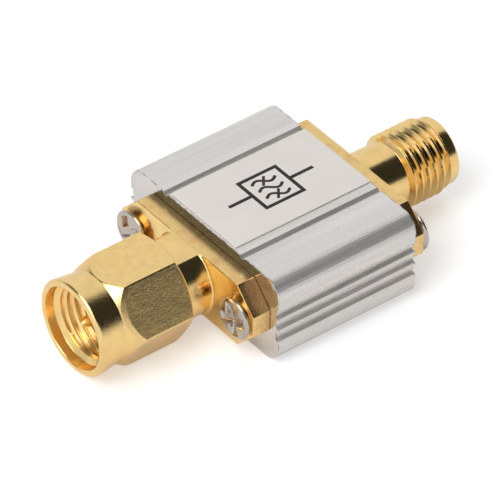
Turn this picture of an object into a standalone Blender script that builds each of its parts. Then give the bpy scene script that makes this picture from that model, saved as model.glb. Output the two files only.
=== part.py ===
"""Coaxial surface acoustic wave filter in an extruded aluminium sleeve.

Frame: +X runs from the plug, with its hex coupling nut, to the threaded jack.
+Z is up, through the labelled face. The origin is under the middle of the whole
part, on the surface that it stands on. All lengths are in metres.
"""
import math

import bmesh
import bpy
from mathutils import Matrix, Vector

MM = 0.001

# Sleeve: one length of aluminium extrusion, sawn square at both ends
SLEEVE_LENGTH = 13.4 * MM
SLEEVE_WIDTH = 18.6 * MM
SLEEVE_HEIGHT = 7.8 * MM
CORNER_RADIUS = 1.5 * MM
V_GROOVE_HALF_WIDTH = 0.3 * MM
V_GROOVE_DEPTH = 0.3 * MM
SIDE_GROOVE_HEIGHT = 0.84 * MM
SIDE_GROOVE_DEPTH = 0.3 * MM
SIDE_RIB_HEIGHT = 0.27 * MM
SIDE_GROOVE_COUNT = 3
CAVITY_CORNER_RADIUS = 0.5 * MM
CAVITY_ROOF = 1.3 * MM
CARD_SLOT_DEPTH = 0.25 * MM

# Flanges: eight-sided brass plates, milled in one piece with the connectors
FLANGE_THICKNESS = 1.65 * MM
FLANGE_SIDE_MARGIN = 1.0 * MM
FLANGE_TOP_MARGIN = 0.95 * MM
FLANGE_CHAMFER = 2.0 * MM
FLANGE_WIDTH = SLEEVE_WIDTH - 2 * FLANGE_SIDE_MARGIN
FLANGE_HEIGHT = SLEEVE_HEIGHT - 2 * FLANGE_TOP_MARGIN

# Fixing screws: pan heads, two at each end
SCREW_EDGE_DISTANCE = 1.8 * MM
SCREW_SPACING = FLANGE_WIDTH - 2 * SCREW_EDGE_DISTANCE
SCREW_DIAMETER = 1.9 * MM
SCREW_LENGTH = 5.0 * MM
SCREW_TIP_CHAMFER = 0.3 * MM
SCREW_HOLE_CLEARANCE = 0.15 * MM
SCREW_PORT_CLEARANCE = 0.03 * MM
HEAD_DIAMETER = 3.6 * MM
HEAD_HEIGHT = 0.8 * MM
HEAD_RIM_HEIGHT = 0.45 * MM
HEAD_SEAT_GAP = 0.02 * MM
RECESS_REACH = 1.4 * MM
RECESS_ARM_WIDTH = 0.85 * MM
RECESS_BRIM = 0.2 * MM
RECESS_DEPTH = 0.65 * MM
RECESS_FLOOR_SCALE = 0.4
RECESS_TURNS = {"plug": (20.0, 62.0), "jack": (35.0, 8.0)}

# Cavity: it leaves a wall beside each screw, and the grooves run over its edges
SCREW_SIDE_WALL = 1.5 * MM
V_GROOVE_INSET = 0.2 * MM
CAVITY_WIDTH = SCREW_SPACING - 2 * SCREW_SIDE_WALL
CAVITY_HEIGHT = SLEEVE_HEIGHT - 2 * CAVITY_ROOF
V_GROOVE_CENTRE = CAVITY_WIDTH / 2 - V_GROOVE_INSET

# Coaxial line: dielectric, plug pin, socket contact and their tails
DIELECTRIC_DIAMETER = 4.1 * MM
CONDUCTOR_DIAMETER = 1.27 * MM
LINE_CLEARANCE = 0.02 * MM
PIN_SHOULDER = 0.18 * MM
PIN_REACH = 2.2 * MM
PIN_POINT_LENGTH = 0.5 * MM
PIN_POINT_TAPER = 0.28 * MM
TAIL_SHOULDER = 0.235 * MM
TAIL_LENGTH = 1.7 * MM
SOCKET_BORE_CLEARANCE = 0.01 * MM
SOCKET_BORE_DEPTH = 2.8 * MM
SOCKET_SLOT_WIDTH = 0.2 * MM
SOCKET_SLOT_DEPTH = 2.0 * MM
PIN_DIAMETER = CONDUCTOR_DIAMETER - 2 * PIN_SHOULDER
TAIL_DIAMETER = CONDUCTOR_DIAMETER - 2 * TAIL_SHOULDER
SOCKET_BORE_DIAMETER = PIN_DIAMETER + 2 * SOCKET_BORE_CLEARANCE

# Plug: the boss and the neck that carry the nut, and the outer contact
OUTER_CONTACT_WALL = 0.23 * MM
OUTER_CONTACT_LENGTH = 2.6 * MM
CONTACT_EDGE = 0.12 * MM
RING_SEAT_STEP = 0.12 * MM
RING_SEAT_DEPTH = 0.35 * MM
NECK_LENGTH = 3.0 * MM
BOSS_SHOULDER = 0.6 * MM
BOSS_LENGTH = 2.2 * MM
BOSS_FILLET = 0.25 * MM
OUTER_CONTACT_DIAMETER = DIELECTRIC_DIAMETER + 2 * OUTER_CONTACT_WALL
RING_GROOVE_DIAMETER = OUTER_CONTACT_DIAMETER + 2 * RING_SEAT_STEP
NECK_DIAMETER = RING_GROOVE_DIAMETER + 2 * RING_SEAT_DEPTH
BOSS_DIAMETER = NECK_DIAMETER + 2 * BOSS_SHOULDER

# Thread of the nut and the jack
THREAD_PITCH = 0.7056 * MM
THREAD_CREST = 0.12 * MM
THREAD_FLANK = 0.2 * MM

# Coupling nut
NUT_LENGTH = 8.65 * MM
NUT_HEX_LENGTH = 6.1 * MM
NUT_HEX_WALL = 0.72 * MM
NUT_REAR_CHAMFER = 0.22 * MM
NUT_REAR_CHAMFER_LENGTH = 0.55 * MM
NUT_FRONT_CHAMFER_LENGTH = 0.75 * MM
NUT_MOUTH_STEP = 0.45 * MM
NUT_MOUTH_DEPTH = 0.85 * MM
NUT_MOUTH_TAPER = 0.3 * MM
NUT_WAIST_WALL = 0.45 * MM
NUT_WAIST_LENGTH = 0.3 * MM
NUT_RIM_FLARE = 0.15 * MM
NUT_RIM_ROUND = 0.3 * MM
NUT_REAR_WALL = 1.2 * MM
NUT_AXIAL_GAP = 0.12 * MM
NUT_RADIAL_GAP = 0.06 * MM
NUT_THREAD_CLEARANCE = 0.25 * MM
NUT_THREAD_DEPTH = 0.3 * MM
NUT_THREAD_COUNT = 5

# Retaining ring: an open spring ring between the neck and the nut
RING_THICKNESS = 0.5 * MM
RING_CATCH = 0.075 * MM
RING_GROOVE_CLEARANCE = 0.175 * MM
RING_CLEARANCE = 0.05 * MM
RING_OPENING_DEGREES = 36.0

# The nut's diameters follow the neck that it turns on
NUT_THREAD_DIAMETER = NECK_DIAMETER + 2 * NUT_THREAD_CLEARANCE
RING_OUTER_DIAMETER = NUT_THREAD_DIAMETER + 2 * RING_CATCH
NUT_RING_GROOVE_DIAMETER = RING_OUTER_DIAMETER + 2 * RING_GROOVE_CLEARANCE
NUT_ACROSS_FLATS = NUT_RING_GROOVE_DIAMETER + 2 * NUT_HEX_WALL
NUT_REAR_RIM_DIAMETER = NUT_ACROSS_FLATS - 2 * NUT_REAR_CHAMFER
NUT_MOUTH_DIAMETER = NUT_THREAD_DIAMETER + 2 * NUT_MOUTH_STEP
NUT_WAIST_DIAMETER = NUT_MOUTH_DIAMETER + 2 * NUT_WAIST_WALL
NUT_RIM_DIAMETER = NUT_WAIST_DIAMETER + 2 * NUT_RIM_FLARE

# Jack: neck, threaded barrel, and the plain lead at its mouth
JACK_NECK_WALL = 0.65 * MM
JACK_NECK_LENGTH = 3.1 * MM
JACK_NECK_STEP = 0.1 * MM
JACK_THREAD_DEPTH = 0.35 * MM
JACK_THREAD_COUNT = 6
JACK_LEAD_STEP = 0.325 * MM
JACK_LEAD_WALL = 0.53 * MM
JACK_LEAD_LENGTH = 0.9 * MM
JACK_LEAD_ROUND = 0.15 * MM
JACK_BORE_CLEARANCE = 0.04 * MM
JACK_BORE_DEPTH = 1.95 * MM
JACK_NECK_DIAMETER = DIELECTRIC_DIAMETER + 2 * JACK_NECK_WALL
JACK_BORE_DIAMETER = OUTER_CONTACT_DIAMETER + 2 * JACK_BORE_CLEARANCE
JACK_LEAD_DIAMETER = JACK_BORE_DIAMETER + 2 * JACK_LEAD_WALL
JACK_THREAD_DIAMETER = JACK_LEAD_DIAMETER + 2 * JACK_LEAD_STEP
JACK_THREAD_LENGTH = (JACK_THREAD_COUNT - 1) * THREAD_PITCH + THREAD_CREST + 2 * THREAD_FLANK
JACK_LENGTH = JACK_NECK_LENGTH + JACK_THREAD_LENGTH + JACK_LEAD_LENGTH

# Circuit card with the filter package and its matching chips
CARD_THICKNESS = 1.0 * MM
CARD_END_GAP = 0.3 * MM
CARD_SLOT_CLEARANCE = 0.04 * MM
CARD_TAIL_GAP = 0.02 * MM
SEAT_GAP = 0.02 * MM
PACKAGE_SIDE = 3.0 * MM
PACKAGE_HEIGHT = 0.8 * MM
LID_SIDE = 2.6 * MM
LID_THICKNESS = 0.15 * MM
LID_CORNER_RADIUS = 0.3 * MM
CHIP_LENGTH = 1.6 * MM
CHIP_WIDTH = 0.8 * MM
CHIP_HEIGHT = 0.7 * MM
CHIP_CAP_LENGTH = 0.35 * MM
CHIP_CAP_STEP = 0.04 * MM
CAPACITOR_OFFSET = 2.3 * MM
SOLDER_CENTRE = 1.2 * MM
SOLDER_LENGTH = 2.0 * MM
SOLDER_WIDTH = 1.5 * MM
SOLDER_TOP = 0.12 * MM
SOLDER_INNER_END = SLEEVE_LENGTH / 2 - SOLDER_CENTRE - SOLDER_LENGTH / 2
CHIP_SPACING = (SOLDER_INNER_END + PACKAGE_SIDE / 2) / 2

# Label on the flat between the two grooves, set to one side
LABEL_SIDE_MARGIN = 0.725 * MM
LABEL_END_MARGIN = 0.15 * MM
LABEL_THICKNESS = 0.1 * MM
LABEL_SIDE_SHIFT = 0.375 * MM
LABEL_END_SHIFT = 0.1 * MM
LABEL_CORNER_RADIUS = 0.15 * MM
LABEL_WIDTH = 2 * (V_GROOVE_CENTRE - LABEL_SIDE_MARGIN)
LABEL_LENGTH = SLEEVE_LENGTH - 2 * LABEL_END_MARGIN

# Fineness of the curved surfaces
ROUND_STEPS = 48
SMALL_ROUND_STEPS = 24
ARC_STEPS = 6
SMOOTH_ANGLE = math.radians(32.0)
MERGE_DISTANCE = 0.0005 * MM
CUT_REACH = 1.0 * MM

# Places along the connector axis, before the part is centred
PLUG_SEAM = -SLEEVE_LENGTH / 2
JACK_SEAM = SLEEVE_LENGTH / 2
PLUG_FACE = PLUG_SEAM - FLANGE_THICKNESS
JACK_FACE = JACK_SEAM + FLANGE_THICKNESS
BOSS_END = PLUG_FACE - BOSS_LENGTH
NUT_REAR = BOSS_END - NUT_AXIAL_GAP
NUT_FRONT = NUT_REAR - NUT_LENGTH
NECK_END = BOSS_END - NECK_LENGTH
PLUG_REFERENCE = NECK_END - OUTER_CONTACT_LENGTH
PIN_TIP = PLUG_REFERENCE - PIN_REACH
RING_REAR = NUT_REAR - NUT_REAR_WALL - RING_CLEARANCE
RING_FRONT = RING_REAR - RING_THICKNESS
JACK_FRONT = JACK_FACE + JACK_LENGTH
JACK_REFERENCE = JACK_FRONT - JACK_BORE_DEPTH

# The part stands on its lowest piece, with the origin under its middle
AXIS_HEIGHT = max(NUT_RIM_DIAMETER, NUT_ACROSS_FLATS, SLEEVE_HEIGHT) / 2
MIDDLE_SHIFT = -(NUT_FRONT + JACK_FRONT) / 2
CARD_TOP = -TAIL_DIAMETER / 2 - CARD_TAIL_GAP
CARD_WIDTH = CAVITY_WIDTH + 2 * (CARD_SLOT_DEPTH - CARD_SLOT_CLEARANCE)


def clear_scene():
    """Remove whatever the file holds."""
    for item in list(bpy.data.objects):
        bpy.data.objects.remove(item, do_unlink=True)


def new_collection(name):
    """Make a collection under the scene."""
    group = bpy.data.collections.new(name)
    bpy.context.scene.collection.children.link(group)
    return group


def new_material(name, colour, roughness, metallic):
    """Make a plain Principled material."""
    finish = bpy.data.materials.new(name)
    finish.use_nodes = True
    shader = finish.node_tree.nodes["Principled BSDF"]
    shader.inputs["Base Color"].default_value = (*colour, 1.0)
    shader.inputs["Roughness"].default_value = roughness
    shader.inputs["Metallic"].default_value = metallic
    return finish


def on_axis(shape, towards=1.0):
    """Put a shape's own Z on the connector axis, pointing to +X or to -X."""
    shape.rotation_euler = (0.0, towards * math.pi / 2, 0.0)
    shape.location = (MIDDLE_SHIFT, 0.0, AXIS_HEIGHT)
    return shape


def new_object(name, mesh, group, finish=None):
    """Link a mesh as a named object."""
    shape = bpy.data.objects.new(name, mesh)
    group.objects.link(shape)
    if finish:
        mesh.materials.append(finish)
    return shape


def as_cutter(shape):
    """Mark an object as a cutter."""
    shape.hide_render = True
    shape.display_type = "WIRE"
    return shape


def turned(name, profile, group, finish=None, closed=False, steps=ROUND_STEPS):
    """Turn a profile of (place along the axis, radius) points about the axis.

    The points start at the largest place, so they run down the outer side of the
    turned shape. A closed profile stays clear of the axis and leaves a bore.
    """
    mesh = bpy.data.meshes.new(name)
    points = [(radius, 0.0, place) for place, radius in profile]
    last = len(points) - 1
    edges = [(index, index + 1) for index in range(last)]
    if closed:
        edges.append((last, 0))
    mesh.from_pydata(points, edges, [])
    shape = on_axis(new_object(name, mesh, group, finish))
    screw = shape.modifiers.new("Turning", "SCREW")
    screw.axis = "Z"
    screw.angle = 2 * math.pi
    screw.steps = steps
    screw.render_steps = steps
    screw.use_merge_vertices = True
    screw.merge_threshold = MERGE_DISTANCE
    return shape


def disc(name, front, back, diameter, group, steps=ROUND_STEPS):
    """Turn a plain cylinder between two places on the axis."""
    radius = diameter / 2
    outline = [(front, 0.0), (front, radius), (back, radius), (back, 0.0)]
    return turned(name, outline, group, steps=steps)


def extruded(name, outlines, front, back, group, finish=None):
    """Extrude flat outlines of (y, z) points along the axis; inner ones are holes."""
    curve = bpy.data.curves.new(name, "CURVE")
    curve.dimensions = "2D"
    curve.fill_mode = "BOTH"
    curve.extrude = abs(front - back) / 2
    for outline in outlines:
        spline = curve.splines.new("POLY")
        spline.points.add(len(outline) - 1)
        for point, (across, height) in zip(spline.points, outline):
            point.co = (-height, across, 0.0, 1.0)
        spline.use_cyclic_u = True
    source = bpy.data.objects.new(name + "_outline", curve)
    group.objects.link(source)
    graph = bpy.context.evaluated_depsgraph_get()
    mesh = bpy.data.meshes.new_from_object(source.evaluated_get(graph))
    bpy.data.objects.remove(source, do_unlink=True)
    bpy.data.curves.remove(curve)
    solid = bmesh.new()
    solid.from_mesh(mesh)
    bmesh.ops.remove_doubles(solid, verts=solid.verts, dist=MERGE_DISTANCE)
    bmesh.ops.recalc_face_normals(solid, faces=solid.faces)
    bmesh.ops.translate(solid, verts=solid.verts, vec=(0.0, 0.0, (front + back) / 2))
    solid.to_mesh(mesh)
    solid.free()
    mesh.name = name
    mesh.materials.clear()
    return on_axis(new_object(name, mesh, group, finish))


def block(name, size, centre, group, finish=None):
    """Make a box of (length, width, height) about a centre in axis places."""
    mesh = bpy.data.meshes.new(name)
    solid = bmesh.new()
    bmesh.ops.create_cube(solid, size=1.0)
    bmesh.ops.scale(solid, verts=solid.verts, vec=size)
    solid.to_mesh(mesh)
    solid.free()
    shape = new_object(name, mesh, group, finish)
    shape.location = Vector((MIDDLE_SHIFT, 0.0, AXIS_HEIGHT)) + Vector(centre)
    return shape


def combine(shape, other, operation):
    """Add an exact Boolean with another object."""
    step = shape.modifiers.new(operation.title() + " " + other.name, "BOOLEAN")
    step.operation = operation
    step.object = other
    step.solver = "EXACT"


def settle(shape):
    """Apply the modifiers and shade the round faces smooth."""
    bpy.context.view_layer.update()
    graph = bpy.context.evaluated_depsgraph_get()
    mesh = bpy.data.meshes.new_from_object(shape.evaluated_get(graph))
    finish = shape.data.materials[0] if shape.data.materials else None
    shape.modifiers.clear()
    shape.data = mesh
    mesh.materials.clear()
    if finish:
        mesh.materials.append(finish)
    mesh.shade_smooth()
    mesh.set_sharp_from_angle(angle=SMOOTH_ANGLE)
    return shape


def arc(centre, radius, start, end, steps=ARC_STEPS):
    """Points on an arc, between two angles in degrees."""
    points = []
    for index in range(steps + 1):
        angle = math.radians(start + (end - start) * index / steps)
        across = centre[0] + radius * math.cos(angle)
        height = centre[1] + radius * math.sin(angle)
        points.append((across, height))
    return points


def rounded_rectangle(width, height, radius, centre=(0.0, 0.0)):
    """Outline of a rectangle with round corners."""
    right = width / 2 - radius
    top = height / 2 - radius
    outline = []
    for side, level, start in ((right, top, 0), (-right, top, 90), (-right, -top, 180), (right, -top, 270)):
        corner = (centre[0] + side, centre[1] + level)
        outline += arc(corner, radius, start, start + 90, ARC_STEPS // 2)
    return outline


def circle(centre, diameter, steps):
    """Outline of a circle."""
    return arc(centre, diameter / 2, 0.0, 360.0, steps)[:-1]


def side_grooves():
    """One flank of the sleeve, from its lowest groove up to its highest."""
    wall = SLEEVE_WIDTH / 2
    floor = wall - SIDE_GROOVE_DEPTH
    pitch = SIDE_GROOVE_HEIGHT + SIDE_RIB_HEIGHT
    lowest = -(SIDE_GROOVE_COUNT * pitch - SIDE_RIB_HEIGHT) / 2
    outline = []
    for index in range(SIDE_GROOVE_COUNT):
        bottom = lowest + index * pitch
        top = bottom + SIDE_GROOVE_HEIGHT
        outline += [(wall, bottom), (floor, bottom), (floor, top), (wall, top)]
    return outline


def v_groove():
    """One groove in the top of the sleeve, from its outer edge inwards."""
    top = SLEEVE_HEIGHT / 2
    return [
        (V_GROOVE_CENTRE + V_GROOVE_HALF_WIDTH, top),
        (V_GROOVE_CENTRE, top - V_GROOVE_DEPTH),
        (V_GROOVE_CENTRE - V_GROOVE_HALF_WIDTH, top),
    ]


def sleeve_outline():
    """Outer outline of the extrusion, anticlockwise from its lower right corner."""
    across = SLEEVE_WIDTH / 2 - CORNER_RADIUS
    level = SLEEVE_HEIGHT / 2 - CORNER_RADIUS
    right = arc((across, -level), CORNER_RADIUS, -90, 0)
    right += side_grooves()
    right += arc((across, level), CORNER_RADIUS, 0, 90)
    right += v_groove()
    left = [(-y, z) for y, z in reversed(right)]
    return right + left


def cavity_outline():
    """Outline of the cavity, with a slot for the card in each side wall."""
    half = CAVITY_WIDTH / 2
    level = CAVITY_HEIGHT / 2
    slot = half + CARD_SLOT_DEPTH
    slot_top = CARD_TOP + CARD_SLOT_CLEARANCE
    slot_bottom = CARD_TOP - CARD_THICKNESS - CARD_SLOT_CLEARANCE
    radius = CAVITY_CORNER_RADIUS
    right = arc((half - radius, -level + radius), radius, -90, 0, ARC_STEPS // 2)
    right += [(half, slot_bottom), (slot, slot_bottom), (slot, slot_top), (half, slot_top)]
    right += arc((half - radius, level - radius), radius, 0, 90, ARC_STEPS // 2)
    left = [(-y, z) for y, z in reversed(right)]
    return right + left


def sleeve(parts, finish):
    """The extruded housing with its cavity and its two screw ports."""
    port = SCREW_DIAMETER + 2 * SCREW_PORT_CLEARANCE
    outlines = [sleeve_outline(), cavity_outline()]
    for side in (-1, 1):
        outlines.append(circle((side * SCREW_SPACING / 2, 0.0), port, SMALL_ROUND_STEPS))
    shape = extruded("housing", outlines, JACK_SEAM, PLUG_SEAM, parts, finish)
    return settle(shape)


def label(parts, finish):
    """The sticker on the flat between the grooves."""
    outline = rounded_rectangle(LABEL_LENGTH, LABEL_WIDTH, LABEL_CORNER_RADIUS)
    curve = bpy.data.curves.new("label", "CURVE")
    curve.dimensions = "2D"
    curve.fill_mode = "BOTH"
    curve.extrude = LABEL_THICKNESS / 2
    spline = curve.splines.new("POLY")
    spline.points.add(len(outline) - 1)
    for point, (along, across) in zip(spline.points, outline):
        point.co = (along, across, 0.0, 1.0)
    spline.use_cyclic_u = True
    shape = bpy.data.objects.new("label", curve)
    parts.objects.link(shape)
    curve.materials.append(finish)
    height = AXIS_HEIGHT + SLEEVE_HEIGHT / 2 + SEAT_GAP + LABEL_THICKNESS / 2
    shape.location = (MIDDLE_SHIFT + LABEL_END_SHIFT, LABEL_SIDE_SHIFT, height)
    return shape


def flange_outline():
    """Eight-sided outline of a flange: a bar with its corners cut at 45 degrees."""
    across = FLANGE_WIDTH / 2
    level = FLANGE_HEIGHT / 2
    cut = FLANGE_CHAMFER
    right = [(across - cut, -level), (across, -level + cut), (across, level - cut), (across - cut, level)]
    left = [(-y, z) for y, z in reversed(right)]
    return right + left


def flange_plate(name, face, seam, parts, finish):
    """One flange plate with its two screw holes."""
    hole = SCREW_DIAMETER + 2 * SCREW_HOLE_CLEARANCE
    outlines = [flange_outline()]
    for side in (-1, 1):
        outlines.append(circle((side * SCREW_SPACING / 2, 0.0), hole, SMALL_ROUND_STEPS))
    return extruded(name, outlines, max(face, seam), min(face, seam), parts, finish)


def plug_turning(cutters):
    """Boss, neck with the ring groove, and outer contact, as one turned bar."""
    boss = BOSS_DIAMETER / 2
    neck = NECK_DIAMETER / 2
    groove = RING_GROOVE_DIAMETER / 2
    contact = OUTER_CONTACT_DIAMETER / 2
    buried = PLUG_FACE + FLANGE_THICKNESS / 2
    profile = [
        (buried, 0.0),
        (buried, boss + BOSS_FILLET),
        (PLUG_FACE, boss + BOSS_FILLET),
        (PLUG_FACE - BOSS_FILLET, boss),
        (BOSS_END, boss),
        (BOSS_END, neck),
        (RING_REAR + RING_CLEARANCE, neck),
        (RING_REAR + RING_CLEARANCE, groove),
        (RING_FRONT - RING_CLEARANCE, groove),
        (RING_FRONT - RING_CLEARANCE, neck),
        (NECK_END, neck),
        (NECK_END, contact),
        (PLUG_REFERENCE + CONTACT_EDGE, contact),
        (PLUG_REFERENCE, contact - CONTACT_EDGE),
        (PLUG_REFERENCE, 0.0),
    ]
    return as_cutter(turned("plug_turning", profile, cutters))


def plug_flange(parts, cutters, finish):
    """Flange, boss, neck and outer contact of the plug, one piece of brass."""
    shape = flange_plate("plug_flange", PLUG_FACE, PLUG_SEAM, parts, finish)
    turning = plug_turning(cutters)
    length = PLUG_SEAM - PLUG_REFERENCE + 2 * CUT_REACH
    centre = ((PLUG_SEAM + PLUG_REFERENCE) / 2, 0.0, 0.0)
    slab = as_cutter(block("boss_flats", (length, FLANGE_WIDTH, FLANGE_HEIGHT), centre, cutters))
    combine(turning, slab, "INTERSECT")
    bore = DIELECTRIC_DIAMETER + 2 * LINE_CLEARANCE
    drill = as_cutter(disc("plug_bore", PLUG_SEAM + CUT_REACH, PLUG_REFERENCE - CUT_REACH, bore, cutters))
    combine(shape, turning, "UNION")
    combine(shape, drill, "DIFFERENCE")
    return settle(shape)


def thread_ridges(first, count, step, foot, crest):
    """Profile points of plain ridges that stand for a thread, one pitch apart.

    The first ridge is centred at first, and the next ones follow in steps of the pitch.
    A bore is cut by ridges too, so there the crest is the thread's root.
    """
    points = []
    half = THREAD_CREST / 2
    side = -1 if step > 0 else 1
    for index in range(count):
        centre = first + index * step
        points += [
            (centre + side * (half + THREAD_FLANK), foot),
            (centre + side * half, crest),
            (centre - side * half, crest),
            (centre - side * (half + THREAD_FLANK), foot),
        ]
    return points


def hex_bar(parts, finish):
    """The nut's hexagon, two flats level with the base."""
    corner = NUT_ACROSS_FLATS / 2 / math.cos(math.radians(30))
    outline = arc((0.0, 0.0), corner, 0.0, 360.0, 6)[:-1]
    return extruded("coupling_nut", [outline], NUT_REAR, NUT_REAR - NUT_HEX_LENGTH, parts, finish)


def hex_envelope(cutters):
    """Turned shape that chamfers both ends of the hexagon."""
    corner = NUT_ACROSS_FLATS / 2 / math.cos(math.radians(30)) + CUT_REACH / 10
    front = NUT_REAR - NUT_HEX_LENGTH
    profile = [
        (NUT_REAR, 0.0),
        (NUT_REAR, NUT_REAR_RIM_DIAMETER / 2),
        (NUT_REAR - NUT_REAR_CHAMFER_LENGTH, corner),
        (front + NUT_FRONT_CHAMFER_LENGTH, corner),
        (front, NUT_WAIST_DIAMETER / 2),
        (front, 0.0),
    ]
    return as_cutter(turned("nut_envelope", profile, cutters))


def nut_collar(cutters):
    """Round front of the nut: a waist that flares to the rim."""
    waist = NUT_WAIST_DIAMETER / 2
    rim = NUT_RIM_DIAMETER / 2
    front = NUT_REAR - NUT_HEX_LENGTH
    flare = front - NUT_WAIST_LENGTH
    shoulder = NUT_FRONT + NUT_RIM_ROUND
    profile = [(front + CUT_REACH, 0.0), (front + CUT_REACH, waist - CUT_REACH / 5), (front, waist)]
    for index in range(ARC_STEPS + 1):
        share = index / ARC_STEPS
        rise = (1 - math.cos(share * math.pi)) / 2
        profile.append((flare + (shoulder - flare) * share, waist + (rim - waist) * rise))
    for across, height in arc((NUT_FRONT + NUT_RIM_ROUND, rim - NUT_RIM_ROUND), NUT_RIM_ROUND, 90, 180, 4)[1:]:
        profile.append((across, height))
    profile.append((NUT_FRONT, 0.0))
    return as_cutter(turned("nut_collar", profile, cutters))


def nut_bore(cutters):
    """Inside of the nut: rear hole, ring groove, thread bore and mouth."""
    hole = NECK_DIAMETER / 2 + NUT_RADIAL_GAP
    groove = NUT_RING_GROOVE_DIAMETER / 2
    thread = NUT_THREAD_DIAMETER / 2
    mouth = NUT_MOUTH_DIAMETER / 2
    wall = NUT_REAR - NUT_REAR_WALL
    step = NUT_FRONT + NUT_MOUTH_DEPTH
    groove_front = RING_FRONT - RING_CLEARANCE
    nearest = step + NUT_MOUTH_TAPER + THREAD_FLANK + THREAD_CREST
    deepest = nearest + (NUT_THREAD_COUNT - 1) * THREAD_PITCH
    profile = [
        (NUT_REAR + CUT_REACH, 0.0),
        (NUT_REAR + CUT_REACH, hole),
        (wall, hole),
        (wall, groove),
        (groove_front, groove),
        (groove_front, thread),
        *thread_ridges(deepest, NUT_THREAD_COUNT, -THREAD_PITCH, thread, thread + NUT_THREAD_DEPTH),
        (step + NUT_MOUTH_TAPER, thread),
        (step, mouth),
        (NUT_FRONT - CUT_REACH, mouth),
        (NUT_FRONT - CUT_REACH, 0.0),
    ]
    return as_cutter(turned("nut_bore", profile, cutters))


def coupling_nut(parts, cutters, finish):
    """Hex coupling nut with a flared round front."""
    shape = hex_bar(parts, finish)
    combine(shape, hex_envelope(cutters), "INTERSECT")
    combine(shape, nut_collar(cutters), "UNION")
    combine(shape, nut_bore(cutters), "DIFFERENCE")
    return settle(shape)


def retaining_ring(parts, finish):
    """Open spring ring that holds the nut on the neck."""
    outer = RING_OUTER_DIAMETER / 2
    inner = RING_GROOVE_DIAMETER / 2 + RING_CLEARANCE
    start = RING_OPENING_DEGREES / 2
    end = 360.0 - start
    outline = arc((0.0, 0.0), outer, start, end, ROUND_STEPS)
    outline += arc((0.0, 0.0), inner, end, start, ROUND_STEPS)
    return settle(extruded("retaining_ring", [outline], RING_REAR, RING_FRONT, parts, finish))


def line_dielectric(name, front, back, parts, finish):
    """Insulator between the conductor and the connector body."""
    outer = DIELECTRIC_DIAMETER / 2
    inner = CONDUCTOR_DIAMETER / 2 + LINE_CLEARANCE
    profile = [(front, inner), (front, outer), (back, outer), (back, inner)]
    return settle(turned(name, profile, parts, finish, closed=True, steps=SMALL_ROUND_STEPS))


def centre_pin(parts, finish):
    """Plug contact: tail, conductor and pointed pin."""
    tail_end = PLUG_SEAM + TAIL_LENGTH
    tail = TAIL_DIAMETER / 2
    conductor = CONDUCTOR_DIAMETER / 2
    pin = PIN_DIAMETER / 2
    profile = [
        (tail_end, 0.0),
        (tail_end, tail),
        (PLUG_SEAM, tail),
        (PLUG_SEAM, conductor),
        (PLUG_REFERENCE, conductor),
        (PLUG_REFERENCE, pin),
        (PIN_TIP + PIN_POINT_LENGTH, pin),
        (PIN_TIP, pin - PIN_POINT_TAPER),
        (PIN_TIP, 0.0),
    ]
    return settle(turned("centre_pin", profile, parts, finish, steps=SMALL_ROUND_STEPS))


def socket_contact(parts, cutters, finish):
    """Jack contact: tail and a bored conductor split into four fingers."""
    tail_end = JACK_SEAM - TAIL_LENGTH
    conductor = CONDUCTOR_DIAMETER / 2
    bore = SOCKET_BORE_DIAMETER / 2
    profile = [
        (JACK_REFERENCE - SOCKET_BORE_DEPTH, 0.0),
        (JACK_REFERENCE - SOCKET_BORE_DEPTH, bore),
        (JACK_REFERENCE, bore),
        (JACK_REFERENCE, conductor),
        (JACK_SEAM, conductor),
        (JACK_SEAM, TAIL_DIAMETER / 2),
        (tail_end, TAIL_DIAMETER / 2),
        (tail_end, 0.0),
    ]
    shape = turned("socket_contact", profile, parts, finish, steps=SMALL_ROUND_STEPS)
    length = SOCKET_SLOT_DEPTH + CUT_REACH
    centre = (JACK_REFERENCE - SOCKET_SLOT_DEPTH + length / 2, 0.0, 0.0)
    across = CONDUCTOR_DIAMETER + CUT_REACH
    for name, size in (("socket_slot_y", (length, across, SOCKET_SLOT_WIDTH)),
                       ("socket_slot_z", (length, SOCKET_SLOT_WIDTH, across))):
        combine(shape, as_cutter(block(name, size, centre, cutters)), "DIFFERENCE")
    return settle(shape)


def jack_turning(cutters):
    """Neck, threaded barrel and lead of the jack, as one turned bar."""
    neck = JACK_NECK_DIAMETER / 2
    thread = JACK_THREAD_DIAMETER / 2
    lead = JACK_LEAD_DIAMETER / 2
    root = thread - JACK_THREAD_DEPTH
    barrel = JACK_FACE + JACK_NECK_LENGTH
    lead_start = JACK_FRONT - JACK_LEAD_LENGTH
    first = lead_start - THREAD_FLANK - THREAD_CREST / 2
    profile = [
        (JACK_FRONT, 0.0),
        (JACK_FRONT, lead - JACK_LEAD_ROUND),
        (JACK_FRONT - JACK_LEAD_ROUND, lead),
        (lead_start + JACK_LEAD_ROUND, lead),
        *thread_ridges(first, JACK_THREAD_COUNT, -THREAD_PITCH, root, thread),
        (barrel - JACK_NECK_STEP, neck),
        (JACK_FACE - FLANGE_THICKNESS / 2, neck),
        (JACK_FACE - FLANGE_THICKNESS / 2, 0.0),
    ]
    return as_cutter(turned("jack_turning", profile, cutters))


def jack_flange(parts, cutters, finish):
    """Flange and barrel of the jack, one piece of brass."""
    shape = flange_plate("jack_flange", JACK_FACE, JACK_SEAM, parts, finish)
    line = DIELECTRIC_DIAMETER / 2 + LINE_CLEARANCE
    bore = JACK_BORE_DIAMETER / 2
    profile = [
        (JACK_FRONT + CUT_REACH, 0.0),
        (JACK_FRONT + CUT_REACH, bore),
        (JACK_REFERENCE, bore),
        (JACK_REFERENCE, line),
        (JACK_SEAM - CUT_REACH, line),
        (JACK_SEAM - CUT_REACH, 0.0),
    ]
    drill = as_cutter(turned("jack_bore", profile, cutters))
    combine(shape, jack_turning(cutters), "UNION")
    combine(shape, drill, "DIFFERENCE")
    return settle(shape)


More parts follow.
